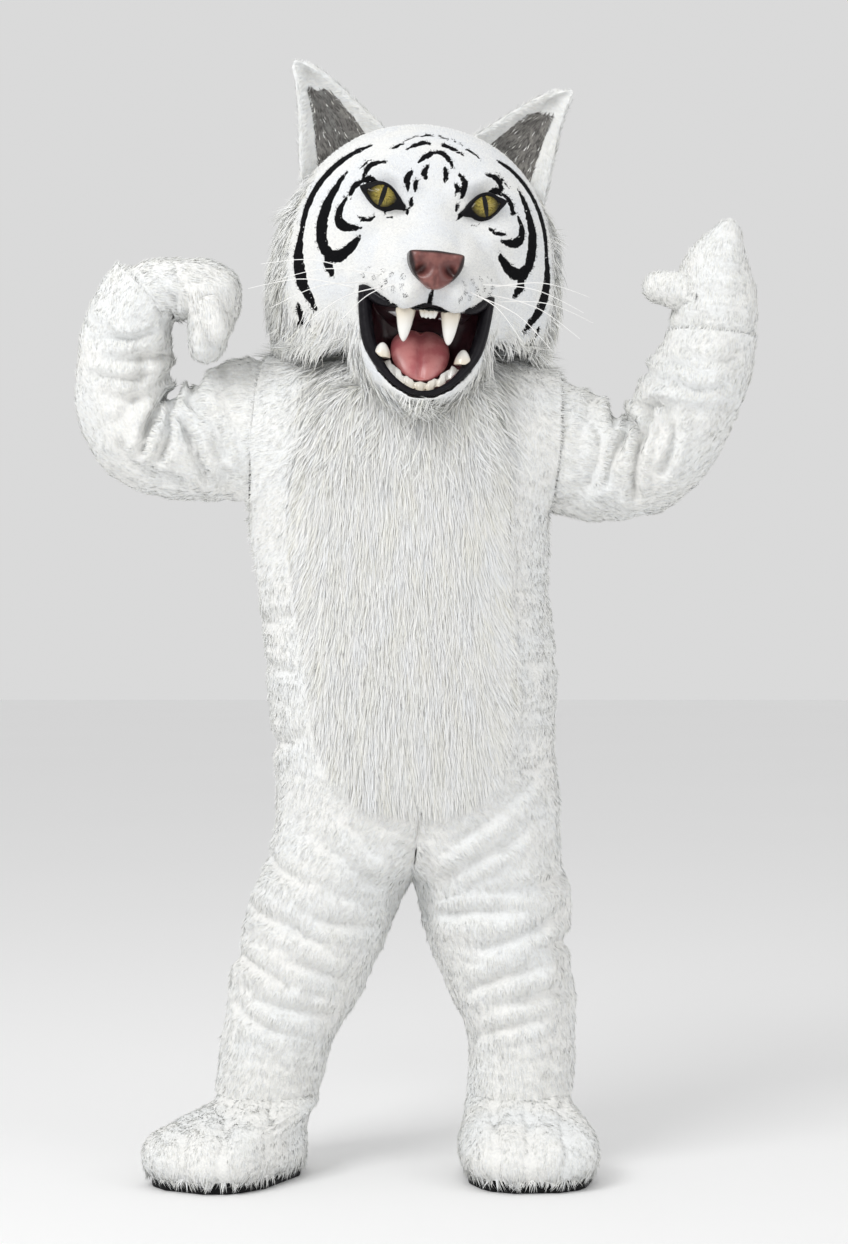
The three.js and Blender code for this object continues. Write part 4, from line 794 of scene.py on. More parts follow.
def mound(x, z, row):
    """1 in the middle of a mound and soft at its edge; a row holds how wide and how tall it is."""
    return np.exp(-(x / row["wide"]) ** 2 - (z / row["tall"]) ** 2)


points = off_face(places(head))
push = np.zeros(len(points))
for row in CARVING:
    for side in ({1} if row["x"] == 0 else SIDES.values()):
        x = (points[:, 0] / MM - side * row["x"]) * side
        z = points[:, 2] / MM - row["z"] - row["slant"] * x
        push += row["push"] * mound(x, z, row)
ahead = ease(*AHEAD_OF["carving"], points[:, 1])
points[:, 1] -= push * ahead * MM
x, z = np.abs(points[:, 0]) / MM - PADS["x"], points[:, 2] / MM - PADS["z"]
points[:, 2] -= PADS["droop"] * mound(x, z, PADS) * ahead * MM
move_to(head, onto_face(snarl(points)))
print("head skin:", len(head.data.polygons), "faces")

# %% [markdown]
# ## The marks
# A white tiger's stripes are dark strokes that swell and taper. Each row is one stroke, a curve through
# three places with its greatest half width. Across the face they are measured round the head and up it,
# so that a stroke keeps its width where the head turns away. A stroke on one side has its mirror image on
# the other, a little shorter or longer, as an airbrush leaves it.

# %% Tables of strokes: round and up in mm for start, middle and end, then half width and which sides
ROUND = 220  # mm: the radius that turns an angle round the head into a length
STROKES = [
    # the crown: chevrons and short bars
    ((-40, 303), (-20, 324), (-3, 330), 6.0, "one"), ((40, 299), (24, 322), (3, 330), 6.2, "one"),
    ((12, 347), (42, 343), (76, 326), 4.6, "both"), ((84, 340), (100, 338), (116, 326), 3.4, "both"),
    ((8, 362), (24, 363), (44, 359), 2.8, "both"), ((54, 360), (68, 356), (88, 348), 2.4, "both"),
    # between the eyes: upright dabs
    ((16, 303), (23, 291), (18, 276), 6.2, "both"), ((51, 292), (59, 274), (52, 250), 6.6, "both"),
    ((37, 274), (42, 264), (36, 252), 4.6, "both"), ((43, 244), (47, 236), (42, 226), 4.2, "both"),
    # over the eye: a hook from its outer corner, and two fine bars
    ((113, 262), (134, 272), (146, 268), 6.4, "both"), ((146, 266), (142, 294), (110, 301), 6.6, "both"),
    ((146, 270), (161, 258), (162, 232), 6.0, "both"), ((140, 308), (154, 298), (166, 282), 2.8, "both"),
    # flecks below the eye
    ((78, 211), (87, 209), (96, 212), 2.6, "both"), ((108, 208), (122, 200), (140, 202), 4.0, "both"),
    # cheeks: nested arcs, open towards the nose
    ((172, 238), (174, 194), (129, 187), 9.0, "both"), ((190, 282), (209, 196), (185, 122), 11.5, "both"),
    ((188, 150), (167, 134), (130, 168), 10.5, "both"), ((186, 136), (185, 120), (177, 98), 8.0, "both"),
    ((210, 230), (214, 208), (210, 186), 4.0, "both"),
    # the long edge of the face, then its tail beside the jaw
    ((172, 334), (241, 276), (247, 160), 11.0, "both"), ((249, 186), (247, 108), (217, 52), 12.5, "both"),
    ((249, 56), (244, 24), (225, -4), 7.5, "both"), ((230, 70), (223, 54), (212, 42), 5.0, "both"),
]
# %% Other marks, in mm of the straight frame: eye rims, a tear line, whisker spots and the lip's groove
EYE = {"x": 87, "z": 243, "half": 30, "tall": 19, "slant": 0.3}
EYE_SHAPE = {"long": 0.80, "tall": 0.98, "narrow": 0.44, "tear": 8, "tail": 6, "lid": 3.4, "edge": 1.43,
             "open": 1.30}
PAINTED_RIM = {"longer": 13, "taller": 6, "pinched": 0.6}
TEAR = ((-22, 236), (-36, 226), (-46, 212), 4.2)  # from the eye's inner corner
SPOTS = {"rows": 3, "columns": 4, "x": 52, "z": 100, "apart": 18, "down": 16, "radius": 6.4, "slant": 0.34,
         "jitter": 2.5}
PHILTRUM = ((0, 86), (0, 60), (0, 34), 4.4)
IN_FRONT = {"strokes": -10, "eyes": -60, "groove": -180}  # mm: how far forward each kind of mark begins

# %% How near a point is to the marks
FAR = 60.0  # mm: farther than any mark reaches
JITTER = 3  # mm that the places of a stroke stray
RAGGED = ((1.3, 0.009, 21), (0.8, 0.004, 22))  # mm of unevenness along the marks' edges, wave and seed


def eye_mark(front, side):
    """The gap to the black round an eye, drawn out to its two corners."""
    x = (front[:, 0] - side * EYE["x"]) * side
    z = front[:, 1] - EYE["z"] - EYE["slant"] * x
    long = (EYE["half"] + PAINTED_RIM["longer"]) * EYE_SHAPE["long"]
    tall = (EYE["tall"] + PAINTED_RIM["taller"]) * EYE_SHAPE["tall"]
    rim = (np.hypot(x / long, z / tall * (1 + PAINTED_RIM["pinched"] * (x / long) ** 2)) - 1) * tall
    tear = stroke_gap(np.column_stack([x, front[:, 1]]), stroke_points(*TEAR[:3]), TEAR[3])
    return np.minimum(rim, tear)


def spot_gaps(straight, front, side, dice):
    """The gap to the nearest whisker spot, each a ball round the foremost point over its place."""
    gaps = np.full(len(front), FAR)
    for row in range(SPOTS["rows"]):
        for column in range(SPOTS["columns"]):
            spot = np.array([SPOTS["x"] + SPOTS["apart"] * (column + 0.5 * (row % 2)),
                             SPOTS["z"] - SPOTS["down"] * row + SPOTS["slant"] * SPOTS["apart"] * column])
            spot += dice.uniform(-SPOTS["jitter"], SPOTS["jitter"], 2)
            near = np.flatnonzero(np.linalg.norm(front - spot * [side, 1], axis=1) < SPOTS["radius"])
            if len(near):
                middle = straight[near[straight[near, 1].argmin()]]
                gaps = np.minimum(gaps, np.linalg.norm(straight - middle, axis=1) - SPOTS["radius"])
    return gaps


def mark_gap(points, spotted=True):
    """For points of the posed head: how far each is from the nearest dark mark, in mm, negative inside.
    The whisker spots are finer than the skin's mesh, so only the pile shows them."""
    straight = off_face(points) / MM
    turned = np.arctan2(straight[:, 0], np.maximum(-straight[:, 1], 1)) * ROUND
    face, front = np.column_stack([turned, straight[:, 2]]), straight[:, [0, 2]]
    ragged = sum(uneven * swell(points, wave, seed) for uneven, wave, seed in RAGGED)
    gaps = np.full(len(points), FAR)
    dice = np.random.default_rng(12)
    for *curve, half, which in STROKES:
        for side in ([1] if which == "one" else [1, -1]):
            stroke = stroke_points(*(np.array(curve) + dice.uniform(-JITTER, JITTER, (3, 2))))
            gaps = np.minimum(gaps, stroke_gap(face, stroke * [side, 1], half) + ragged)
    gaps = np.where(straight[:, 1] < IN_FRONT["strokes"], gaps, FAR)
    for side in SIDES.values():
        rimmed = np.minimum(gaps, eye_mark(front, side))
        gaps = np.where(straight[:, 1] < IN_FRONT["eyes"], rimmed, gaps)
        if spotted:
            gaps = np.minimum(gaps, spot_gaps(straight, front, side, dice))
    groove = stroke_gap(front, stroke_points(*PHILTRUM[:3]), PHILTRUM[3])
    return np.where(straight[:, 1] < IN_FRONT["groove"], np.minimum(gaps, groove), gaps)


def keep_on(piece, name, values):
    """Writes one number for each vertex, for the finish to read."""
    layer = piece.data.attributes.new(name, "FLOAT", "POINT")
    layer.data.foreach_set("value", values.astype(np.float32))


keep_on(head, "marks", mark_gap(places(head), spotted=False))
print("strokes:", len(STROKES))

# %% The head's finish: plush with the marks airbrushed on
INK = (0.004, 0.004, 0.005)


def marked_finish():
    finish = Finish("marked plush", roughness=0.9, Specular_IOR_Level=0.12)
    gap = finish.node("ShaderNodeAttribute", {"attribute_name": "marks"}, output="Fac")
    hairs = finish.noise(scale=240, detail=4)
    clouds = finish.noise(scale=14, detail=3)
    body = finish.mix(finish.step(clouds, 0.36, 0.64), (0.84, 0.84, 0.82), (0.78, 0.80, 0.82))
    # painted shade: the white greys where the hairs' bump is low, in the hollows between the hairs
    white = finish.mix(finish.step(hairs, 0.56, 0.32) * 0.4, body, (0.62, 0.63, 0.65))
    dark = finish.step(gap + (hairs - 0.5) * 3, 0.7, -0.7)  # mm on either side of a mark's edge
    return finish.feed(Base_Color=finish.mix(dark, white, INK),
                       Normal=finish.bump(hairs, strength=0.4, distance=0.002))


head.data.materials.append(marked_finish())

# %% [markdown]
# ## Pile
# Pile is many thousands of short blades, far too many for a modifier each, so one function makes a whole
# piece of them as arrays: it scatters roots over a cloth, combs each blade along a direction, lifts it,
# and writes all the vertices and faces at once. A short blade is one triangle. A long one has a second
# pair of vertices so that it can droop. Blades are grouped in tufts that lean together, which is what
# makes plush look soft instead of sprayed.

# %% Roots
def outer_roots(piece, density, seed, keep):
    """Random places on the kept faces of a piece, so many a square metre, with their normals.
    keep gives each face's share of that density, from its middle and its normal."""
    mesh = piece.data
    mesh.calc_loop_triangles()
    corners = np.empty(len(mesh.loop_triangles) * 3, np.int32)
    mesh.loop_triangles.foreach_get("vertices", corners)
    corners = corners.reshape(-1, 3)
    points, ways = places(piece), directions(piece)
    a, b, c = (points[corners[:, i]] for i in range(3))
    area = np.linalg.norm(np.cross(b - a, c - a), axis=1) / 2
    share = area * keep((a + b + c) / 3, unit(ways[corners].mean(1)))
    dice = np.random.default_rng(seed)
    count = int(density * share.sum())
    picked = dice.choice(len(share), count, p=share / share.sum())
    first, second = dice.random((2, count))
    over = first + second > 1
    first[over], second[over] = 1 - first[over], 1 - second[over]
    weights = np.stack([1 - first - second, first, second], 1)[:, :, None]
    return (points[corners[picked]] * weights).sum(1), unit((ways[corners[picked]] * weights).sum(1)), dice


# %% Blades as arrays
TONES = 16  # lanes of colour across the pile's own map
LANES = {"white": (0, 9), "cream": (4, 12), "grey": (12, 14), "ink": (14, 16)}
SUNK, ABOVE_FLOOR = 0.001, 0.001  # roots go 1 mm into the cloth, and no blade goes into the floor
UNEVEN = {"length": (0.7, 1.12), "rise": (0.05, 1.35), "of_stray": 0.7, "twist": 0.45, "cells": 0.3}
ELBOW = {"at": 0.52, "pull": 0.35, "droop": 0.2, "wide": 0.85}  # where a long blade bends, and how
BLADES = {  # the faces of a blade, its vertices' places along it and across its lane of colour
    "short": ([(0, 2, 1)], [0.03, 0.03, 0.97], [0.25, 0.75, 0.5]),
    "long": ([(0, 2, 1), (1, 2, 3), (2, 4, 3)], [0.03, 0.03, 0.52, 0.52, 0.97], [0.25, 0.75, 0.3, 0.7, 0.5]),
}


def pile(name, piece, density, comb, keep, length, lift, wide, seed, kind="short", droop=0.0, swirl=0.22,
         tuft=0.012, gather=0.0, stray=0.13, tone=None, soft=0.86):
    """A piece of pile on a cloth. comb gives each root's direction; length may be a function of the roots.
    lift is how far blades stand up, in radians, and soft is how much they take the cloth's own shading."""
    roots, up, dice = outer_roots(piece, density, seed, keep)
    count = len(roots)
    way = comb(roots, up)
    way = unit(way - dot(way, up) * up)
    across = np.cross(up, way)
    veer = swirl * swell(roots, tuft * 5, seed + 1) + 0.5 * swirl * swell(roots, tuft, seed + 2)
    veer = (veer + dice.normal(0, stray, count))[:, None]
    way, across = way * np.cos(veer) + across * np.sin(veer), across * np.cos(veer) - way * np.sin(veer)
    reach = length(roots) if callable(length) else np.full(count, length)
    reach = (reach * dice.uniform(*UNEVEN["length"], count))[:, None]
    rise = lift + stray * swell(roots, tuft * 1.4, seed + 3)
    rise = np.clip(rise + dice.normal(0, UNEVEN["of_stray"] * stray, count), *UNEVEN["rise"])[:, None]
    lean = way * np.cos(rise) + up * np.sin(rise)
    twist = dice.normal(0, UNEVEN["twist"], count)[:, None]
    edge = (across * np.cos(twist) + up * np.sin(twist)) * wide / 2
    pull = np.zeros_like(roots)
    if gather:  # tips move towards the middle of their tuft
        cell = np.floor(roots / tuft + dice.uniform(0, UNEVEN["cells"], (1, 3)))
        pull = ((cell + 0.5) * tuft - roots) * gather
        pull -= dot(pull, up) * up
    base = roots - up * SUNK
    tip = base + lean * reach + pull - up * (droop * reach)
    rows = [base - edge, base + edge, tip]
    if kind == "long":
        half = base + lean * reach * ELBOW["at"] + pull * ELBOW["pull"]
        half = half - up * (ELBOW["droop"] * droop * reach)
        rows[2:2] = [half - edge * ELBOW["wide"], half + edge * ELBOW["wide"]]
    vertices = np.stack(rows, 1)
    vertices[:, :, 2] = np.maximum(vertices[:, :, 2], FLOOR + ABOVE_FLOOR)
    shading = unit(up * soft + unit(np.cross(lean, edge)) * (1 - soft))
    lanes = tone(roots, dice) if tone else dice.uniform(*LANES["white"], count)
    return blades_mesh(name, vertices, kind, np.floor(lanes), shading)


# %% The mesh of a pile
def blades_mesh(name, vertices, kind, lanes, shading):
    count, per = vertices.shape[:2]
    faces, heights, side = map(np.array, BLADES[kind])
    corners = (np.arange(count)[:, None, None] * per + faces[None]).reshape(-1)
    mesh = bpy.data.meshes.new(name)
    mesh.vertices.add(count * per)
    mesh.vertices.foreach_set("co", vertices.astype(np.float32).ravel())
    mesh.loops.add(len(corners))
    mesh.loops.foreach_set("vertex_index", corners.astype(np.int32))
    mesh.polygons.add(len(corners) // 3)
    mesh.polygons.foreach_set("loop_start", np.arange(0, len(corners), 3, dtype=np.int32))
    mesh.update(calc_edges=True)
    mesh.polygons.foreach_set("use_smooth", np.ones(len(corners) // 3, bool))
    local = corners % per
    u = (lanes[corners // per] + side[local]) / TONES
    layer = mesh.uv_layers.new(name="OFBake")
    layer.uv.foreach_set("vector", np.column_stack([u, heights[local]]).astype(np.float32).ravel())
    mesh.normals_split_custom_set_from_vertices(np.repeat(shading, per, axis=0).astype(np.float32))
    piece = bpy.data.objects.new(name, mesh)
    bpy.context.collection.objects.link(piece)
    piece.data.materials.append(blade_finish)
    print(name, count, "blades,", len(corners) // 3, "triangles")
    return piece


# %% The blades' finish: a lane for each tone, with painted shade darkening the root
TINTS = [
    (0.95, 0.96, 0.96), (0.92, 0.94, 0.95), (0.96, 0.96, 0.95), (0.91, 0.92, 0.92),  # white, then cream
    (0.95, 0.95, 0.93), (0.93, 0.93, 0.90), (0.96, 0.96, 0.94), (0.92, 0.92, 0.88),
    (0.94, 0.95, 0.92), (0.94, 0.93, 0.87), (0.91, 0.90, 0.83), (0.95, 0.94, 0.89),
    (0.11, 0.105, 0.10), (0.22, 0.21, 0.20), INK, (0.010, 0.009, 0.011),  # grey, then ink
]


def blades_finish():
    finish = Finish("pile blades", roughness=0.85, Specular_IOR_Level=0.14)
    across, up = finish.parts(finish.node("ShaderNodeUVMap", {"uv_map": "OFBake"}), "X", "Y")
    tone = finish.ramp(across, [(i / TONES, tint) for i, tint in enumerate(TINTS)], "CONSTANT")
    # painted shade: each blade is darker at its root, down in the dense pile
    painted_shade = finish.ramp(up, [(0.0, (0.86, 0.86, 0.87)), (0.35, (0.96, 0.96, 0.96)), (0.8, (1, 1, 1))])
    return finish.feed(Base_Color=finish.mix(1.0, tone, painted_shade, "MULTIPLY"))


blade_finish = blades_finish()

# %% [markdown]
# ## Short plush on the suit and the boots
# The suit's pile runs down the body and out along the limbs. Only the outer skin of a wall grows pile, and
# none grows where the belly's own cloth lies on the fronts.

# %% Where the short pile grows, and which way it runs
UNDER_BELLY = {"half": 0.145, "top": 0.02, "bottom": 0.05}  # m: here the belly's cloth covers the fronts
BELLY_MIDDLE = (BELLY_LOW.x + BELLY_HIGH.x) / 2
SHOULDER = {"off": (0.20, 0.27), "up": (-0.43, -0.33), "turn": 3}  # where the pile turns to the arms


def clear_of_belly(chain):
    outer = outwards(chain)

    def keep(middles, ways):
        x, y, z = middles.T
        inside = ((np.abs(x - BELLY_MIDDLE) < UNDER_BELLY["half"]) & (z < BELLY_HIGH.z - UNDER_BELLY["top"])
                  & (z > BELLY_LOW.z + UNDER_BELLY["bottom"]) & (y < 0))
        return outer(middles, ways) * ~inside
    return keep


def down_chain(chain):
    def comb(roots, up):
        way = along(roots, chain)[3]
        if chain.startswith("body"):
            sideways = ease(*SHOULDER["off"], np.abs(roots[:, 0])) * ease(*SHOULDER["up"], roots[:, 2])
            way = way + np.outer(SHOULDER["turn"] * sideways * np.sign(roots[:, 0]), [1, 0, 0])
        return way
    return comb


# %% Short pile
SHORT = {"density": 98_000, "behind": 0.78, "length": 0.0135, "lift": 0.26, "wide": 0.0025}
piles = {}
for seed, (node, (name, chain)) in enumerate(CLOTH.items()):
    keep = clear_of_belly(chain) if "front" in node else outwards(chain)
    density = SHORT["density"] * (SHORT["behind"] if "back" in node else 1)
    piles[node] = pile(f"pile_{node}", suit[node], density, down_chain(chain), keep, SHORT["length"],
                       SHORT["lift"], SHORT["wide"], 100 + 10 * seed)

# %% The boots' pile, longer where it hangs over the soles
BOOT_PILE = {"short": 0.0115, "fringe": 0.013, "reach": (0.022, 0.004), "middle": 0.02, "outward": 0.12}


def boot_length(sole):
    def length(roots):
        return BOOT_PILE["short"] + BOOT_PILE["fringe"] * ease(*BOOT_PILE["reach"], roots[:, 2] - sole)
    return length


def over_the_toes(roots, up):
    return np.tile([0.0, -0.5, -0.8], (len(roots), 1))


def off_middle(middle, least):
    """Keeps the faces that look away from a middle."""
    return lambda middles, ways: (dot(ways, unit(middles - middle))[:, 0] > least).astype(float)


for side in SIDES:
    low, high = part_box(f"boot_{side}")
    middle = np.array([(low.x + high.x) / 2, (low.y + high.y) / 2, low.z + BOOT_PILE["middle"]])
    piles[f"boot_{side}"] = pile(f"pile_boot_{side}", suit[f"boot_{side}"], SHORT["density"], over_the_toes,
                                 off_middle(middle, BOOT_PILE["outward"]), boot_length(low.z), SHORT["lift"],
                                 SHORT["wide"], 300 + len(side))

# %% [markdown]
# ## The belly's long pile
# A separate U of long-pile fur is sewn on the fronts. It keeps its solid's form as the mass of the fur,
# and long drooping blades hang from it in locks, over its lower edge too, where they make the fringe.

# %% Belly
belly = refined("belly_panel", "belly_fur_cloth", levels=2)
belly.data.materials.append(pile_cloth)
suit["belly_panel"] = belly
BELLY = {"density": 152_000, "length": 0.052, "lift": 0.13, "wide": 0.0014}
BELLY_ENDS = {"low": (0.22, 0.02), "shorter_low": 0.12, "edge": (0.10, 0.18), "shorter_edge": 0.35}
BELLY_COMB = {"fan": 0.35, "part": 0.45, "edge": (0.11, 0.19)}  # it spreads, and turns out at the edges
CREAM = {"stretch": [1, 1, 0.35], "wave": 0.05, "least": 0.25, "more": 0.35, "stray": 2.2, "lanes": 12}


def belly_length(roots):
    high, low = (BELLY_LOW.z + reach for reach in BELLY_ENDS["low"])
    below = ease(high, low, roots[:, 2])
    edge = ease(*BELLY_ENDS["edge"], np.abs(roots[:, 0] - BELLY_MIDDLE))
    return BELLY["length"] * (1 - BELLY_ENDS["shorter_low"] * below) * (1 - BELLY_ENDS["shorter_edge"] * edge)


def down_the_belly(roots, up):
    x = roots[:, 0] - BELLY_MIDDLE
    out = BELLY_COMB["fan"] * x + BELLY_COMB["part"] * np.sign(x) * ease(*BELLY_COMB["edge"], np.abs(x))
    return np.column_stack([out, 0 * x, 0 * x - 1])


def looking_ahead(least):
    """Keeps the faces that look forwards, or not far back."""
    return lambda middles, ways: (ways[:, 1] < least).astype(float)


def cream(roots, dice):
    """Lanes of white and cream in broad uneven bands."""
    warm = 0.5 + 0.5 * swell(roots * CREAM["stretch"], CREAM["wave"], 31)
    lanes = CREAM["lanes"] * (CREAM["least"] + CREAM["more"] * warm)
    return np.clip(lanes + dice.normal(0, CREAM["stray"], len(roots)), 0, CREAM["lanes"] - 0.1)


piles["belly_panel"] = pile(
    "pile_belly", belly, BELLY["density"], down_the_belly, looking_ahead(0.1), belly_length, BELLY["lift"],
    BELLY["wide"], 400, kind="long", droop=0.05, swirl=0.10, tuft=0.009, gather=0.5, stray=0.09, tone=cream,
    soft=0.85)

# %% [markdown]
# ## Fur on the head
# The face is shaved short, so its marks stay sharp. The fur grows longer at the edge of the face, on the
# cheeks beside the mouth and under the chin, and there it hangs down over the shoulders and the chest.

# %% The face's own map: where the mouth and the nose are, and where the fur is long
NOSE_TIP = onto_face(np.array([[0, -0.25, 0.12]]))[0]
SKULL = onto_face(np.array([[0, 0.01, 0.16]]))[0]
MOUTH_AREA = {"half": 104, "middle": -2, "up": 66, "down": 96, "ahead": -60}  # mm, in the straight frame
PAD_AREA = {"above": 46, "half": 80}
NOSE_AREA = {"half": 42, "z": 112, "tall": 22, "ahead": -220}
SHAGGY = {  # mm and degrees in the straight frame: where each stretch of long fur begins and is full
    "beyond": (68, 80), "temple": (330, 240), "cheek": (70, 0), "cheek_off": (118, 150), "chin": (-84, -112),
    "jaw": (46, -4), "jaw_off": (0.97, 1.12),
}


def turned(points):
    """The angle round the head in degrees, 0 ahead, for points in the straight frame."""
    return np.degrees(np.arctan2(points[:, 0], -points[:, 1]))


def lips_off(straight):
    """1 on the outer edge of the lips, less inside the mouth, more outside it."""
    below = straight[:, 2] - MOUTH_AREA["middle"]
    return np.hypot(straight[:, 0] / MOUTH_AREA["half"],
                    below / np.where(below > 0, MOUTH_AREA["up"], MOUTH_AREA["down"]))


def outside_head(middles, ways):
    """Outer faces of the head, clear of the mouth and the nose."""
    outer = off_middle(SKULL, 0.05)(middles, ways)
    straight = off_face(middles) / MM
    off, ahead, up = np.abs(straight[:, 0]), straight[:, 1], straight[:, 2]
    pads = (up > PAD_AREA["above"]) & (off < PAD_AREA["half"])
    mouth = (lips_off(straight) < 1) & (ahead < MOUTH_AREA["ahead"]) & ~pads
    nose = ((off < NOSE_AREA["half"]) & (np.abs(up - NOSE_AREA["z"]) < NOSE_AREA["tall"])
            & (ahead < NOSE_AREA["ahead"]))
    return outer * ~mouth * ~nose


def shag(points):
    """0 on the shaved face, 1 where the fur is long."""
    straight = off_face(points) / MM
    off, up = np.abs(straight[:, 0]), straight[:, 2]
    beyond = ease(*SHAGGY["beyond"], np.abs(turned(straight))) * ease(*SHAGGY["temple"], up)
    cheek = ease(*SHAGGY["cheek"], up) * ease(*SHAGGY["cheek_off"], off)
    jaw = ease(*SHAGGY["jaw"], up) * ease(*SHAGGY["jaw_off"], lips_off(straight))
    return np.maximum.reduce([beyond, cheek, ease(*SHAGGY["chin"], up), jaw])


print("face clear of mouth and nose:", int(outside_head(places(head), directions(head)).sum()), "vertices")

# %% How the head's fur is combed, and its tones
DOWN = {"out": 0.5, "off_nose": 0.3, "fall": [0, 0.1, -0.85]}
RAGGED_INK = {"short": 0.5, "long": 1, "shag": 0.7}  # mm that edges stray, and the shag that hides marks


def away_from_nose(roots, up):
    return unit(roots - NOSE_TIP)


def down_and_out(roots, up):
    out = unit(roots - SKULL) * [1, 1, 0]
    return DOWN["out"] * out + DOWN["off_nose"] * away_from_nose(roots, up) + np.array(DOWN["fall"])


def marked_tone(roots, dice):
    gap = mark_gap(roots) + dice.normal(0, RAGGED_INK["short"], len(roots))
    lanes = dice.uniform(*LANES["white"], len(roots))
    return np.where(gap < 0, dice.uniform(*LANES["ink"], len(roots)), lanes)


def long_tone(roots, dice):
    gap = mark_gap(roots) + dice.normal(0, RAGGED_INK["long"], len(roots))
    inked = (gap < 0) & (shag(roots) < RAGGED_INK["shag"])
    return np.where(inked, dice.uniform(*LANES["ink"], len(roots)), cream(roots, dice))


# %% Where the two kinds of fur grow on the head, and how long
FACE = {"density": 228_000, "short": 0.0056, "long": 0.056, "wide": 0.0015, "lift": 0.30, "behind": 0.45}
CHEEK = {"density": 96_000, "wide": 0.0017, "lift": 0.24}
BOTH_KINDS = {"shaved": 0.35, "long": 0.08}  # they overlap between these two places on the shag
CLIPPED = {"near": (8, 3), "by": 0.5}  # mm from a mark, and by how much the white pile is clipped there
GROWN = {"shag": 2.0, "behind": 0.9, "ears_to_nape": (-0.05, 0.05)}
TRIMMED = {"near": (6, 1), "shag": (0.9, 0.6), "by": 0.6, "back_from": 0.03, "back": 0.6}


def shaved_part(middles, ways):
    thinned = np.where(off_face(middles)[:, 1] > 0, FACE["behind"], 1.0)
    return outside_head(middles, ways) * (shag(middles) < BOTH_KINDS["shaved"]) * thinned


def long_part(middles, ways):
    return outside_head(middles, ways) * (shag(middles) > BOTH_KINDS["long"])


def shaved_length(roots):
    """White pile is clipped shorter beside the marks, so that it doesn't cover them."""
    gap, nape = mark_gap(roots), ease(*GROWN["ears_to_nape"], off_face(roots)[:, 1])
    grown = 1 + GROWN["shag"] * shag(roots) + GROWN["behind"] * nape
    return FACE["short"] * grown * (1 - CLIPPED["by"] * (ease(*CLIPPED["near"], gap) * (gap > 0)))


def cheek_length(roots):
    """Long fur, trimmed where it would hide a mark, and shorter behind the ears."""
    trim = TRIMMED["by"] * ease(*TRIMMED["near"], mark_gap(roots)) * ease(*TRIMMED["shag"], shag(roots))
    behind = np.where(off_face(roots)[:, 1] > TRIMMED["back_from"], TRIMMED["back"], 1)
    return FACE["short"] + FACE["long"] * shag(roots) * behind * (1 - trim)


# %% Face, cheeks and chin
LOCKS = {"kind": "long", "droop": 0.16, "tuft": 0.011, "gather": 0.45, "soft": 0.88}  # long fur in locks
piles["head_shell"] = pile("pile_face", head, FACE["density"], away_from_nose, shaved_part, shaved_length,
                           FACE["lift"], FACE["wide"], 500, swirl=0.16, tuft=0.007, stray=0.16,
                           tone=marked_tone, soft=0.75)
piles["chin"] = pile("pile_cheeks", head, CHEEK["density"], down_and_out, long_part, cheek_length,
                     CHEEK["lift"], CHEEK["wide"], 520, tone=long_tone, **LOCKS)

# %% Ruff round the sides and back of the head: its front edge is drawn back, to begin behind the cheeks
RUFF = {"density": 74_000, "length": 0.042, "wide": 0.0015, "lift": 0.22, "low": 0.020, "back": 0.016}
RUFF_EDGE = {"front": 51, "starts": 73, "calm": 112, "most": 1.3}  # degrees round the head

ruff = refined("head_ruff", "ruff_cloth", levels=2)
ruff.data.materials.append(pile_cloth)
points = off_face(places(ruff))
angle = turned(points)
moved = RUFF_EDGE["calm"] - RUFF_EDGE["front"]
share = np.clip((RUFF_EDGE["calm"] - np.abs(angle)) / moved, 0, RUFF_EDGE["most"])
turn = np.radians(np.sign(angle) * share * (RUFF_EDGE["starts"] - RUFF_EDGE["front"]))
points = np.column_stack([points[:, 0] * np.cos(turn) - points[:, 1] * np.sin(turn),
                          points[:, 1] * np.cos(turn) + points[:, 0] * np.sin(turn), points[:, 2]])
move_to(ruff, onto_face(points))
suit["head_ruff"] = ruff


def ruff_length(roots):
    """Longest at the lower edge, where it falls on the shoulders, and shorter at the back."""
    return (RUFF["length"] + RUFF["low"] * ease(0.09, 0.0, roots[:, 2])
            - RUFF["back"] * ease(0.10, 0.17, roots[:, 1]))


piles["head_ruff"] = pile("pile_ruff", ruff, RUFF["density"], down_and_out, off_middle(SKULL, 0.1),
                          ruff_length, RUFF["lift"], RUFF["wide"], 540, tone=cream, **LOCKS)

# %% Mane: the long fur under the chin, down to the chest
MANE = {"density": 62_000, "length": 0.058, "wide": 0.0018, "lift": 0.24, "up": (-0.235, -0.12),
        "off": (0.21, 0.6 * 0.21), "x": -0.02}
FAN = {"x": -0.01, "out": 2.4, "ahead": 0.1, "down": 0.8}


def on_the_chest(middles, ways):
    inside = ease(*MANE["off"], np.abs(middles[:, 0] - MANE["x"]))
    return looking_ahead(0.2)(middles, ways) * inside * ease(*MANE["up"], middles[:, 2])


def spread(roots, up):
    x = roots[:, 0] - FAN["x"]
    return np.column_stack([FAN["out"] * x, 0 * x - FAN["ahead"], 0 * x - FAN["down"]])


for number, node in enumerate(("belly_panel", "body_front_right", "body_front_left")):
    piles[f"mane on {node}"] = pile(
        f"pile_mane_{number + 1}", suit[node], MANE["density"], spread, on_the_chest, MANE["length"],
        MANE["lift"], MANE["wide"], 550 + 3 * number, tone=cream,
        **(LOCKS | {"droop": 0.1, "swirl": 0.4, "tuft": 0.012, "stray": 0.14}))

# %% [markdown]
# ## Ears
# An ear is a cupped leaf of foam under white fur, with a panel of grey fur sewn inside the cup.

# %% How an ear's fur is combed: up to the tip, and over the grey lining's edge
EAR = {"density": 150_000, "length": 0.0145, "wide": 0.0019, "lift": 0.50, "stray": 0.2, "above": 0.04,
       "inward": 0.9, "bare": 0.007, "tip": (0.06, 0.0), "shorter": 0.55}
EAR_INSIDE = {"length": 0.015, "wide": 0.0017, "lift": 0.16, "stray": 0.10, "above": 0.02, "cream": 0.05}


def highest(piece):
    points = places(piece)
    return points[points[:, 2].argmax()]


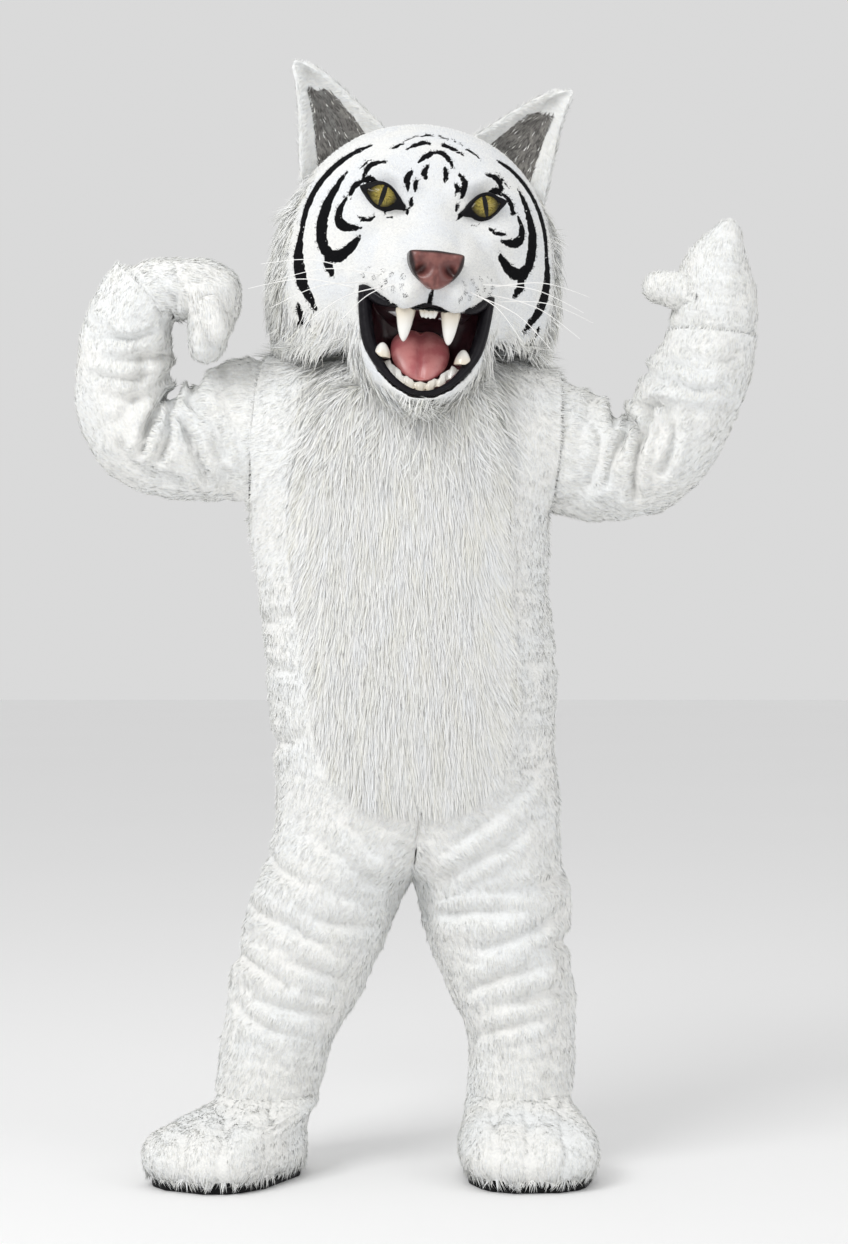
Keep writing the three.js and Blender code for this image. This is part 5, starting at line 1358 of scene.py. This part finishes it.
def grey_tone(roots, dice):
    return np.where(dice.random(len(roots)) < EAR_INSIDE["cream"], dice.uniform(*LANES["cream"], len(roots)),
                    dice.uniform(*LANES["grey"], len(roots)))


def towards(target):
    return lambda roots, up: unit(target - roots)


def over_the_lining(tip, middle):
    """Up to the tip all round, and on the front side also in over the lining's edge."""
    def comb(roots, up):
        inward = unit(middle - roots) * (up[:, 1:2] < 0)
        return unit(tip - roots) + EAR["inward"] * inward
    return comb


def short_at(tip):
    def length(roots):
        near = ease(*EAR["tip"], np.linalg.norm(roots - tip, axis=1))
        return EAR["length"] * (1 - EAR["shorter"] * near)
    return length


def clear_of(cloth):
    """Keeps the faces that the lining doesn't cover."""
    covered = places(cloth)

    def keep(middles, ways):
        gaps = np.array([np.linalg.norm(covered - middle, axis=1).min() for middle in middles])
        return (gaps > EAR["bare"]).astype(float)
    return keep


# %% Ears
# its third colour, near black, is painted shade in the hollows between the tufts
ear_cloth = plush_finish("grey ear cloth", (0.26, 0.25, 0.23), (0.20, 0.20, 0.19), (0.08, 0.08, 0.08), 150)
for side in SIDES:
    ear = refined(f"ear_{side}", f"ear_cloth_{side}", levels=2, hard=65)
    ear.data.materials.append(plush)
    lining = refined(f"ear_lining_{side}", f"ear_inside_{side}", levels=2, hard=65)
    lining.data.materials.append(ear_cloth)
    suit[f"ear_{side}"], suit[f"ear_lining_{side}"] = ear, lining
    tip = highest(ear)
    comb = over_the_lining(tip + [0, 0, EAR["above"]], places(lining).mean(0))
    piles[f"ear_{side}"] = pile(
        f"pile_ear_{side}", ear, EAR["density"], comb, clear_of(lining), short_at(tip), EAR["lift"],
        EAR["wide"], 560 + len(side), swirl=0.2, stray=EAR["stray"], soft=0.92)
    piles[f"ear_lining_{side}"] = pile(
        f"pile_ear_inside_{side}", lining, EAR["density"], towards(tip + [0, 0, EAR_INSIDE["above"]]),
        looking_ahead(0.2), EAR_INSIDE["length"], EAR_INSIDE["lift"], EAR_INSIDE["wide"], 580 + len(side),
        kind="long", swirl=0.2, stray=EAR_INSIDE["stray"], tone=grey_tone, soft=0.9)

# %% [markdown]
# ## Eyes
# The eyes are glossy domes with a painted iris: an amber ring that turns olive, fine streaks towards a
# slit, and a dark edge. The pattern is worked out in the plane of each eye from Object coordinates. The
# black rim round each dome is drawn out to the two corners, which gives the narrow cat's eye.

# %% The cat's eye: an oval opened, narrowed to its corners and drawn out
CORNERS = {"tear": (0.55, 1.0), "tail": (0.60, 1.0), "tear_in": 0.7, "tail_up": 0.6, "lid": (0, 6)}


def cat_eye(straight, side):
    """Opens an eye, narrows it towards its corners and draws the corners out."""
    half, sign, edge = EYE["half"], SIDES[side], EYE_SHAPE["edge"]
    x = (straight[:, 0] / MM * sign) - EYE["x"]
    z = straight[:, 2] / MM - EYE["z"] - EYE["slant"] * x
    rho = np.hypot(x / half, z / EYE["tall"])
    wider = np.interp(rho, [0, 1, edge], [EYE_SHAPE["open"], EYE_SHAPE["open"], 1])
    x, z = x * wider, z * wider
    share = x / half / edge
    z = z * EYE_SHAPE["tall"] * (1 - EYE_SHAPE["narrow"] * np.clip(np.abs(share), 0, 1) ** 2)
    z -= EYE_SHAPE["lid"] * ease(*CORNERS["lid"], z)
    tear = EYE_SHAPE["tear"] * ease(*CORNERS["tear"], -share)
    tail = EYE_SHAPE["tail"] * ease(*CORNERS["tail"], share)
    x = x * EYE_SHAPE["long"]
    z = z + EYE["z"] + EYE["slant"] * x + CORNERS["tail_up"] * tail - tear
    x = x + EYE["x"] - CORNERS["tear_in"] * tear + tail
    return np.column_stack([x * sign * MM, straight[:, 1], z * MM])


# %% The painted iris
EYE_AXES = onto_face(np.eye(3)) - onto_face(np.zeros((1, 3)))  # the face's own right, back and up
IRIS = {"radius": 0.0245, "slit": 0.0044, "slit_tall": 0.021, "lean": 0.24, "soft": 2e-6}
GLOSS = {"roughness": 0.12, "Specular_IOR_Level": 0.12, "Coat_Weight": 0.35, "Coat_Roughness": 0.02}


def eye_finish(side):
    finish = Finish(f"{side} eye", **GLOSS)
    low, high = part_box(f"eye_{side}")
    offset = finish.node("ShaderNodeVectorMath", {"operation": "SUBTRACT"},
                         {0: finish.place(), 1: tuple((low + high) / 2)})

    def part(axis):
        return finish.node("ShaderNodeVectorMath", {"operation": "DOT_PRODUCT"}, {0: offset, 1: tuple(axis)},
                           output="Value")
    across, up = part(EYE_AXES[0]), part(EYE_AXES[2])
    leaning = across + up * (IRIS["lean"] * SIDES[side])
    radius = finish.node("ShaderNodeMath", {"operation": "SQRT"}, {0: across * across + up * up})
    angle = finish.node("ShaderNodeMath", {"operation": "ARCTAN2"}, {0: up, 1: across})
    polar = finish.node("ShaderNodeCombineXYZ", {}, {"X": angle * 3.2, "Y": radius * 60})
    streaks = finish.noise(scale=2.4, detail=3, vector=polar)
    rings = finish.ramp(radius / IRIS["radius"], [
        (0.0, (0.34, 0.24, 0.045)), (0.35, (0.42, 0.33, 0.075)), (0.60, (0.26, 0.21, 0.04)),
        (0.80, (0.09, 0.07, 0.012)), (0.94, (0.006, 0.006, 0.005))])
    iris = finish.mix(finish.step(streaks, 0.40, 0.64) * 0.75, rings, (0.06, 0.045, 0.008))
    wide = 1 - up * up * (1 / IRIS["slit_tall"] ** 2)
    slit = finish.step(leaning * leaning - wide * IRIS["slit"] ** 2, IRIS["soft"], -IRIS["soft"])
    return finish.feed(Base_Color=finish.mix(slit, iris, INK))


# %% Eyes and rims
rim_black = Finish("black rubber rim", roughness=0.5, Specular_IOR_Level=0.10)
grain = rim_black.noise(scale=160, detail=3)
rim_finish = rim_black.feed(Base_Color=rim_black.mix(grain, (0.003, 0.003, 0.004), (0.010, 0.009, 0.011)),
                            Normal=rim_black.bump(grain, strength=0.15, distance=0.001))
for side in SIDES:
    for node, name, hard, finish in ((f"eye_{side}", f"eyeball_{side}", 80, eye_finish(side)),
                                     (f"eye_rim_{side}", f"eye_edge_{side}", 75, rim_finish)):
        piece = refined(node, name, levels=1 if "rim" in node else 2, hard=hard)
        piece.data.materials.append(finish)
        move_to(piece, onto_face(cat_eye(off_face(places(piece)), side)))
        suit[node] = piece
        print(name, len(piece.data.polygons), "faces")

# %% [markdown]
# ## Nose
# The nose is cast vinyl: a rounded triangle with two nostrils pressed into it. A remesh gives it enough
# vertices, and the nostrils and the soft middle ridge are pushed. Its colour darkens at its outline, and
# painted shade darkens the nostrils.

# %% Nose
NOSTRIL = {"x": 0.025, "up": 0.47, "wide": 0.0125, "tall": 0.0115, "deep": 0.013, "slant": 0.35}
RIDGES = {"middle": (0.0, 0.016, 0.004), "wings": (0.034, 0.009, 0.004)}  # at, wide, high
CLEFT = {"wide": 0.002, "deep": 0.004, "up": (0.5, 0.1)}
OUTLINE = {"half": 0.047, "foot": 0.30, "more": 0.75, "power": 0.55, "middle": 0.42, "tall": 0.56}
NOSE_FRONT = {"fades": 0.012, "full": 0.014}
NOSE_MESH = {"voxel": 0.0022, "passes": 10}

nose = refined("nose", "nose_vinyl", levels=1)
applied(nose, "REMESH", mode="VOXEL", voxel_size=NOSE_MESH["voxel"], use_smooth_shade=True)
applied(nose, "SMOOTH", factor=SMOOTHING, iterations=NOSE_MESH["passes"])
points = off_face(places(nose))
NOSE_LOW, NOSE_HIGH = points.min(0), points.max(0)
nose_tall = NOSE_HIGH[2] - NOSE_LOW[2]
x = points[:, 0] - (NOSE_LOW[0] + NOSE_HIGH[0]) / 2
up = (points[:, 2] - NOSE_LOW[2]) / nose_tall
front = ease(NOSE_HIGH[1] - NOSE_FRONT["fades"], NOSE_LOW[1] + NOSE_FRONT["full"], points[:, 1])
ridge = sum(high * np.exp(-((np.abs(x) - at) / wide) ** 2) for at, wide, high in RIDGES.values())
off = np.abs(x) - NOSTRIL["x"]
z = points[:, 2] - (NOSE_LOW[2] + NOSTRIL["up"] * nose_tall) + NOSTRIL["slant"] * off
pit = mound(off, z, NOSTRIL)
points[:, 1] += front * (NOSTRIL["deep"] * pit - ridge * (1 - pit))
points[:, 1] += front * CLEFT["deep"] * np.exp(-(x / CLEFT["wide"]) ** 2) * ease(*CLEFT["up"], up)
share = np.clip(up, 0, 1)
half_wide = OUTLINE["half"] * (OUTLINE["foot"] + OUTLINE["more"] * share ** OUTLINE["power"])
keep_on(nose, "pit", pit)
keep_on(nose, "edge", np.maximum(np.abs(x) / half_wide, np.abs(share - OUTLINE["middle"]) / OUTLINE["tall"]))
move_to(nose, onto_face(points))

# %% The nose's finish
nose_finish = Finish("nose vinyl", roughness=0.36, Specular_IOR_Level=0.3, Coat_Weight=0.25,
                     Coat_Roughness=0.2)
pores = nose_finish.noise(scale=420, detail=3)
stain = nose_finish.noise(scale=60, detail=2)
skin = nose_finish.mix(nose_finish.step(stain, 0.35, 0.68), (0.15, 0.052, 0.047), (0.25, 0.100, 0.086))
nostril_shade = nose_finish.node("ShaderNodeAttribute", {"attribute_name": "pit"}, output="Fac")
outline = nose_finish.node("ShaderNodeAttribute", {"attribute_name": "edge"}, output="Fac")
# painted shade: the pressed-in nostrils are darkened where the pit is deep
skin = nose_finish.mix(nose_finish.step(nostril_shade, 0.25, 0.85) * 0.85, skin, (0.030, 0.008, 0.008))
skin = nose_finish.mix(nose_finish.step(outline, 0.80, 0.96), skin, (0.016, 0.007, 0.007))
bumps = nose_finish.bump(pores, strength=0.25, distance=0.0008)
nose.data.materials.append(nose_finish.feed(Base_Color=skin, Normal=bumps))
suit["nose"] = nose
print(nose.name, len(nose.data.polygons), "faces")

# %% [markdown]
# ## Mouth
# The lips are a black vinyl roll with a wet gloss. The lining behind them is painted: black at the lips,
# dark red deeper in, and pale pink round the lower teeth. The tongue has a groove down its middle. Fangs
# and teeth are glossy resin, a little yellow at the gums.

# %% Lips and lining
lip_black = Finish("black lips", roughness=0.3, Specular_IOR_Level=0.12, Coat_Weight=0.10,
                   Coat_Roughness=0.08)
wrinkles = lip_black.noise(scale=90, detail=4)
lips_finish = lip_black.feed(Base_Color=lip_black.mix(wrinkles, (0.003, 0.003, 0.004), (0.014, 0.012, 0.016)),
                             Normal=lip_black.bump(wrinkles, strength=0.5, distance=0.002))
TUCK = {"back": 0.014, "up": 0.008, "half": 0.075, "from": (0.030, 0.052)}  # the upper lip, behind the pads
FLARE = {"corner": 0.100, "wide": 0.030, "deep": 0.007}  # and the roll is fatter at the corners


lips = refined("lips", "lips_vinyl", levels=2)
off = np.abs(off_face(places(lips))[:, 0])
fat = FLARE["deep"] * np.exp(-((off - FLARE["corner"]) / FLARE["wide"]) ** 2)
points = off_face(places(lips) + directions(lips) * fat[:, None])
upper = ease(*TUCK["from"], points[:, 2]) * ease(TUCK["half"], 0.6 * TUCK["half"], np.abs(points[:, 0]))
points += np.column_stack([0 * upper, TUCK["back"] * upper, TUCK["up"] * upper])
move_to(lips, onto_face(snarl(points)))
lips.data.materials.append(lips_finish)
suit["lips"] = lips
print(lips.name, len(lips.data.polygons), "faces")

# %% Lining
LINING_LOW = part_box("mouth_lining")[0]
PAINTED = {"lips": 0.016, "throat": 0.055, "gums_top": 0.075, "gums": 0.02, "uneven": 0.03}  # m from its box


def lining_finish():
    finish = Finish("painted mouth", roughness=0.34, Coat_Weight=0.45, Coat_Roughness=0.2)
    folds = finish.noise(scale=70, detail=4)
    deep, up = finish.parts(finish.place(), "Y", "Z")
    depth = finish.step(deep + (folds - 0.5) * PAINTED["uneven"], LINING_LOW.y + PAINTED["lips"],
                        LINING_LOW.y + PAINTED["throat"])
    gums = finish.step(up, LINING_LOW.z + PAINTED["gums_top"], LINING_LOW.z + PAINTED["gums"]) * depth
    inside = finish.mix(folds, (0.012, 0.008, 0.011), (0.055, 0.012, 0.016))
    inside = finish.mix(gums * 0.8, inside, (0.36, 0.12, 0.13))
    return finish.feed(Base_Color=finish.mix(depth, (0.006, 0.005, 0.008), inside),
                       Normal=finish.bump(folds, strength=0.4, distance=0.003))


lining = refined("mouth_lining", "mouth_inside", levels=2)
move_to(lining, onto_face(snarl(off_face(places(lining)))))
lining.data.materials.append(lining_finish())
suit["mouth_lining"] = lining
print(lining.name, len(lining.data.polygons), "faces")

# %% Tongue
FLATTER = 0.72  # the tongue's back lies low behind the fangs
GROOVES = ((0.0055, 0.006), (0.002, 0.02))  # a fine groove in a broad one, deep and wide
TONGUE_UP = np.array([0, -0.5, 0.85])

tongue = refined("tongue", "tongue_vinyl", levels=2)
points, ways = off_face(places(tongue)), directions(tongue)
x = points[:, 0] - (points[:, 0].min() + points[:, 0].max()) / 2
groove = sum(deep * np.exp(-(x / wide) ** 2) for deep, wide in GROOVES) * ease(-0.2, 0.5, ways @ TONGUE_UP)
over = np.maximum(points[:, 2] - np.median(points[:, 2]), 0)
points[:, 2] -= over * (1 - FLATTER)
move_to(tongue, onto_face(points) - ways * groove[:, None])
tongue_finish = Finish("tongue vinyl", roughness=0.38, Coat_Weight=0.4, Coat_Roughness=0.25)
buds = tongue_finish.noise(scale=330, detail=3)
flush = tongue_finish.noise(scale=34, detail=3)
pink = tongue_finish.mix(tongue_finish.step(flush, 0.34, 0.66), (0.47, 0.12, 0.13), (0.62, 0.24, 0.23))
bumps = tongue_finish.bump(buds, strength=0.35, distance=0.001)
tongue.data.materials.append(tongue_finish.feed(Base_Color=pink, Normal=bumps))
suit["tongue"] = tongue
print(tongue.name, len(tongue.data.polygons), "faces")

# %% Teeth and fangs
TOOTH = {"roughness": 0.22, "Coat_Weight": 0.5, "Coat_Roughness": 0.1}
YELLOWED = 0.6  # the share of a tooth's height over which it yellows


def tooth_finish(name, low, high, root_up):
    """Ivory that yellows towards the gum, which is up for the upper jaw."""
    finish = Finish(name, **TOOTH)
    up, = finish.parts(finish.place(), "Z")
    stain = finish.noise(scale=120, detail=3)
    stained = YELLOWED * (high - low)
    near, far = (high, high - stained) if root_up else (low, low + stained)
    gum = finish.step(up + (stain - 0.5) * 0.006, far, near)
    base = finish.mix(gum * 0.75, (0.90, 0.89, 0.85), (0.72, 0.62, 0.46))
    return finish.feed(Base_Color=base, Normal=finish.bump(stain, strength=0.08, distance=0.001))


# %% A strip of teeth, and stout lower fangs
BEADS = {"teeth_upper": (4, 0.0016), "teeth_lower": (7, 0.0042)}  # how many, and how deep between them
BEAD = {"sharp": 6, "first": (0.0, 0.04), "last": (1.0, 0.96)}


def beaded(piece, count, deep):
    """Draws a strip of teeth in between its teeth, across the mouth."""
    points = off_face(places(piece))
    ways = off_face(places(piece) + directions(piece)) - points
    x = points[:, 0]
    share = (x - x.min()) / (x.max() - x.min())
    between = np.abs(np.cos(math.pi * count * share)) ** BEAD["sharp"]
    ends = ease(*BEAD["first"], share) * ease(*BEAD["last"], share)
    move_to(piece, onto_face(points - ways * (between * ends * deep)[:, None]))
    return smooth(piece, 180)


STOUT = {"wide": 1.65, "tall": 0.80}  # the lower fangs are stout


def stouter(piece):
    points = off_face(places(piece))
    root = np.array([*points.mean(0)[:2], points[:, 2].min()])
    move_to(piece, onto_face(root + (points - root) * [STOUT["wide"], STOUT["wide"], STOUT["tall"]]))


for node in nodes:
    if node.startswith(("fang", "teeth")):
        tooth = refined(node, f"ivory_{node}", levels=2, hard=80)
        if node in BEADS:
            beaded(tooth, *BEADS[node])
        if node.startswith("fang_lower"):
            stouter(tooth)
        low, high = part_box(node)
        tooth.data.materials.append(tooth_finish(f"ivory {node}", low.z, high.z, "upper" in node))
        suit[node] = tooth
        print(tooth.name, len(tooth.data.polygons), "faces")

# %% [markdown]
# ## Whiskers
# A whisker is a stiff nylon bristle. The rings of its solid give the line that it follows, and the new
# one tapers along that line from its root to a fine tip.

# %% Whiskers
WHISKER = {"root": 0.0011, "tip": 0.0004, "sides": 3, "steps": 6, "ring": 0.004}
nylon = Finish("nylon bristle", roughness=0.3, Coat_Weight=0.3)
milky = nylon.mix(nylon.noise(scale=60, detail=2), (0.90, 0.89, 0.86), (0.97, 0.97, 0.96))
bristle_finish = nylon.feed(Base_Color=milky)


def ring_centres(piece):
    """The middles of a thin tube's rings, from its root, which is nearest the nose, to its tip."""
    points = list(places(piece))
    centres = []
    while points:
        near = [p for p in points if np.linalg.norm(p - points[0]) < WHISKER["ring"]]
        points = [p for p in points if np.linalg.norm(p - near[0]) >= WHISKER["ring"]]
        centres.append(np.mean(near, axis=0))
    line = [min(centres, key=lambda c: abs(c[0] - NOSE_TIP[0]))]
    rest = [c for c in centres if c is not line[0]]
    while rest:
        following = min(rest, key=lambda c: np.linalg.norm(c - line[-1]))
        rest = [c for c in rest if c is not following]
        line.append(following)
    return line


def whisker(node):
    solid = copied(node, node + "_solid")
    line = ring_centres(solid)
    bpy.data.objects.remove(solid)
    curve = bpy.data.curves.new(node + "_bristle", "CURVE")
    curve.dimensions = "3D"
    curve.bevel_depth, curve.bevel_resolution, curve.resolution_u = 1.0, WHISKER["sides"], WHISKER["steps"]
    curve.use_fill_caps = True
    spline = curve.splines.new("NURBS")
    spline.points.add(len(line) - 1)
    for i, (point, place) in enumerate(zip(spline.points, line)):
        point.co = (*place, 1)
        share = i / (len(line) - 1)
        point.radius = WHISKER["root"] * (1 - share) + WHISKER["tip"] * share
    spline.order_u, spline.use_endpoint_u = 4, True
    piece = bpy.data.objects.new(node + "_bristle", curve)
    bpy.context.collection.objects.link(piece)
    shown_alone(piece)
    bpy.ops.object.convert(target="MESH")
    piece.data.materials.clear()
    piece.data.materials.append(bristle_finish)
    return piece


for node in nodes:
    if node.startswith("whisker"):
        suit[node] = whisker(node)
print("whiskers:", sum(node.startswith("whisker") for node in suit))

# %% [markdown]
# ## Soles
# The boots stand on black foam rubber, cut a little inside the boot with its lower edge rounded by wear.

# %% Soles
SOLE = {"inset": 0.93, "round": 0.005}
rubber = Finish("sole rubber", roughness=0.75, Specular_IOR_Level=0.2)
crumb, scuff = rubber.noise(scale=260, detail=4), rubber.noise(scale=30, detail=3)
worn = rubber.mix(rubber.step(scuff, 0.5, 0.75) * 0.5, (0.006, 0.006, 0.007), (0.035, 0.034, 0.033))
sole_finish = rubber.feed(Base_Color=worn, Normal=rubber.bump(crumb, strength=0.4, distance=0.001),
                          Roughness=0.66 + crumb * 0.2)

for side in SIDES:
    sole = copied(f"sole_{side}", f"sole_rubber_{side}")
    points = places(sole)
    middle = np.array([*(points.min(0) + points.max(0))[:2] / 2, 0])
    move_to(sole, middle + (points - middle) * [SOLE["inset"], SOLE["inset"], 1])
    applied(sole, "BEVEL", width=SOLE["round"], segments=3, limit_method="ANGLE")
    smooth(sole, 40).data.materials.append(sole_finish)
    suit[f"sole_{side}"] = sole
    print(sole.name, len(sole.data.polygons), "faces")

# %% [markdown]
# ## Floor and light
# A plain pale floor and an even white world give soft light from everywhere. One large lamp from the upper
# left models the folds, and a weaker one from the right keeps that side open.

# %% Floor
FLOOR_WIDE = 60
bpy.ops.mesh.primitive_plane_add(size=FLOOR_WIDE, location=(0, 0, FLOOR))
floor = bpy.context.object
floor.name = "floor"
paper = Finish("pale floor", roughness=0.9)
pale = paper.mix(paper.noise(scale=0.5, detail=2), (0.93, 0.93, 0.93), (0.95, 0.95, 0.95))
floor.data.materials.append(paper.feed(Base_Color=pale))

# %% Lamps and world
SKY = {"Color": (1, 1, 1, 1), "Strength": 0.70}
LAMPS = [
    {"name": "key", "at": (-2.9, -3.9, 3.4), "to": (0, 0, -0.3), "size": 2.8, "watts": 165},
    {"name": "side", "at": (3.6, -2.6, 1.2), "to": (0, 0, -0.5), "size": 2.6, "watts": 22},
]
for lamp in LAMPS:
    at = np.array(lamp["at"])
    aim = at - np.array(lamp["to"])
    bpy.ops.object.light_add(type="AREA", location=lamp["at"], rotation=(
        math.atan2(math.hypot(aim[0], aim[1]), aim[2]), 0, math.atan2(aim[0], -aim[1])))
    light = bpy.context.object
    light.name, light.data.size, light.data.energy = lamp["name"], lamp["size"], lamp["watts"]
world = bpy.data.worlds.new("white studio")
world.use_nodes = True
for socket, value in SKY.items():
    world.node_tree.nodes["Background"].inputs[socket].default_value = value
bpy.context.scene.world = world
bpy.context.scene.view_settings.view_transform = "Standard"

# %% [markdown]
# ## What each piece is
# Every piece rides on the one body and stands for its solid, which is hidden.

# %% Riding, and hiding the solids
suit["head_shell"] = head


for node, piece in suit.items():
    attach(piece, "root")
    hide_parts(node, *(("muzzle", "chin") if node == "head_shell" else ()))
for node, piece in piles.items():
    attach(piece, "root")
    long = node in ("belly_panel", "chin", "head_ruff") or node.startswith("mane")
print("pieces:", len(suit) + len(piles))

# %% [markdown]
# ## Cut sizes of the cloth
# Cloth was cut flat before it was sewn. Each row gives the blank that a panel was cut from, width and
# length in metres, and the share of that blank that the panel fills. Each is printed beside the area of
# one side of its wall.

# %% Cut sizes
CUTS = {
    "body_front_right": (0.40, 1.37, 0.86), "body_back_right": (0.40, 1.37, 0.82),
    "body_front_left": (0.40, 1.36, 0.85), "body_back_left": (0.40, 1.36, 0.82),
    "sleeve_right": (0.58, 0.58, 0.86), "sleeve_left": (0.58, 0.52, 0.85),
    "mitt_right": (0.36, 0.30, 0.74), "mitt_left": (0.36, 0.27, 0.76),
    "thumb_right": (0.09, 0.08, 0.76), "thumb_left": (0.14, 0.10, 0.78),
    "belly_panel": (0.39, 0.72, 0.92), "head_ruff": (0.95, 0.27, 0.80),
    "ear_lining_right": (0.09, 0.16, 0.56), "ear_lining_left": (0.09, 0.16, 0.56),
}
for node, (wide, long, share) in CUTS.items():
    cloth = suit[node]
    faces = sum(face.area for face in cloth.data.polygons)
    hairs = [piles[key] for key in (node, f"mane on {node}") if key in piles]
    wide * long * share
    print(f"{node}: cut {wide * long * share:.3f} m2, one side of the wall {faces / 2:.3f} m2")

# %% Triangles
def triangles(piece):
    piece.data.calc_loop_triangles()
    return len(piece.data.loop_triangles)


counts = {piece.name: triangles(piece) for piece in [*suit.values(), *piles.values()]}
print("triangles:", sum(counts.values()), "the most:", max(counts.items(), key=lambda item: item[1]))
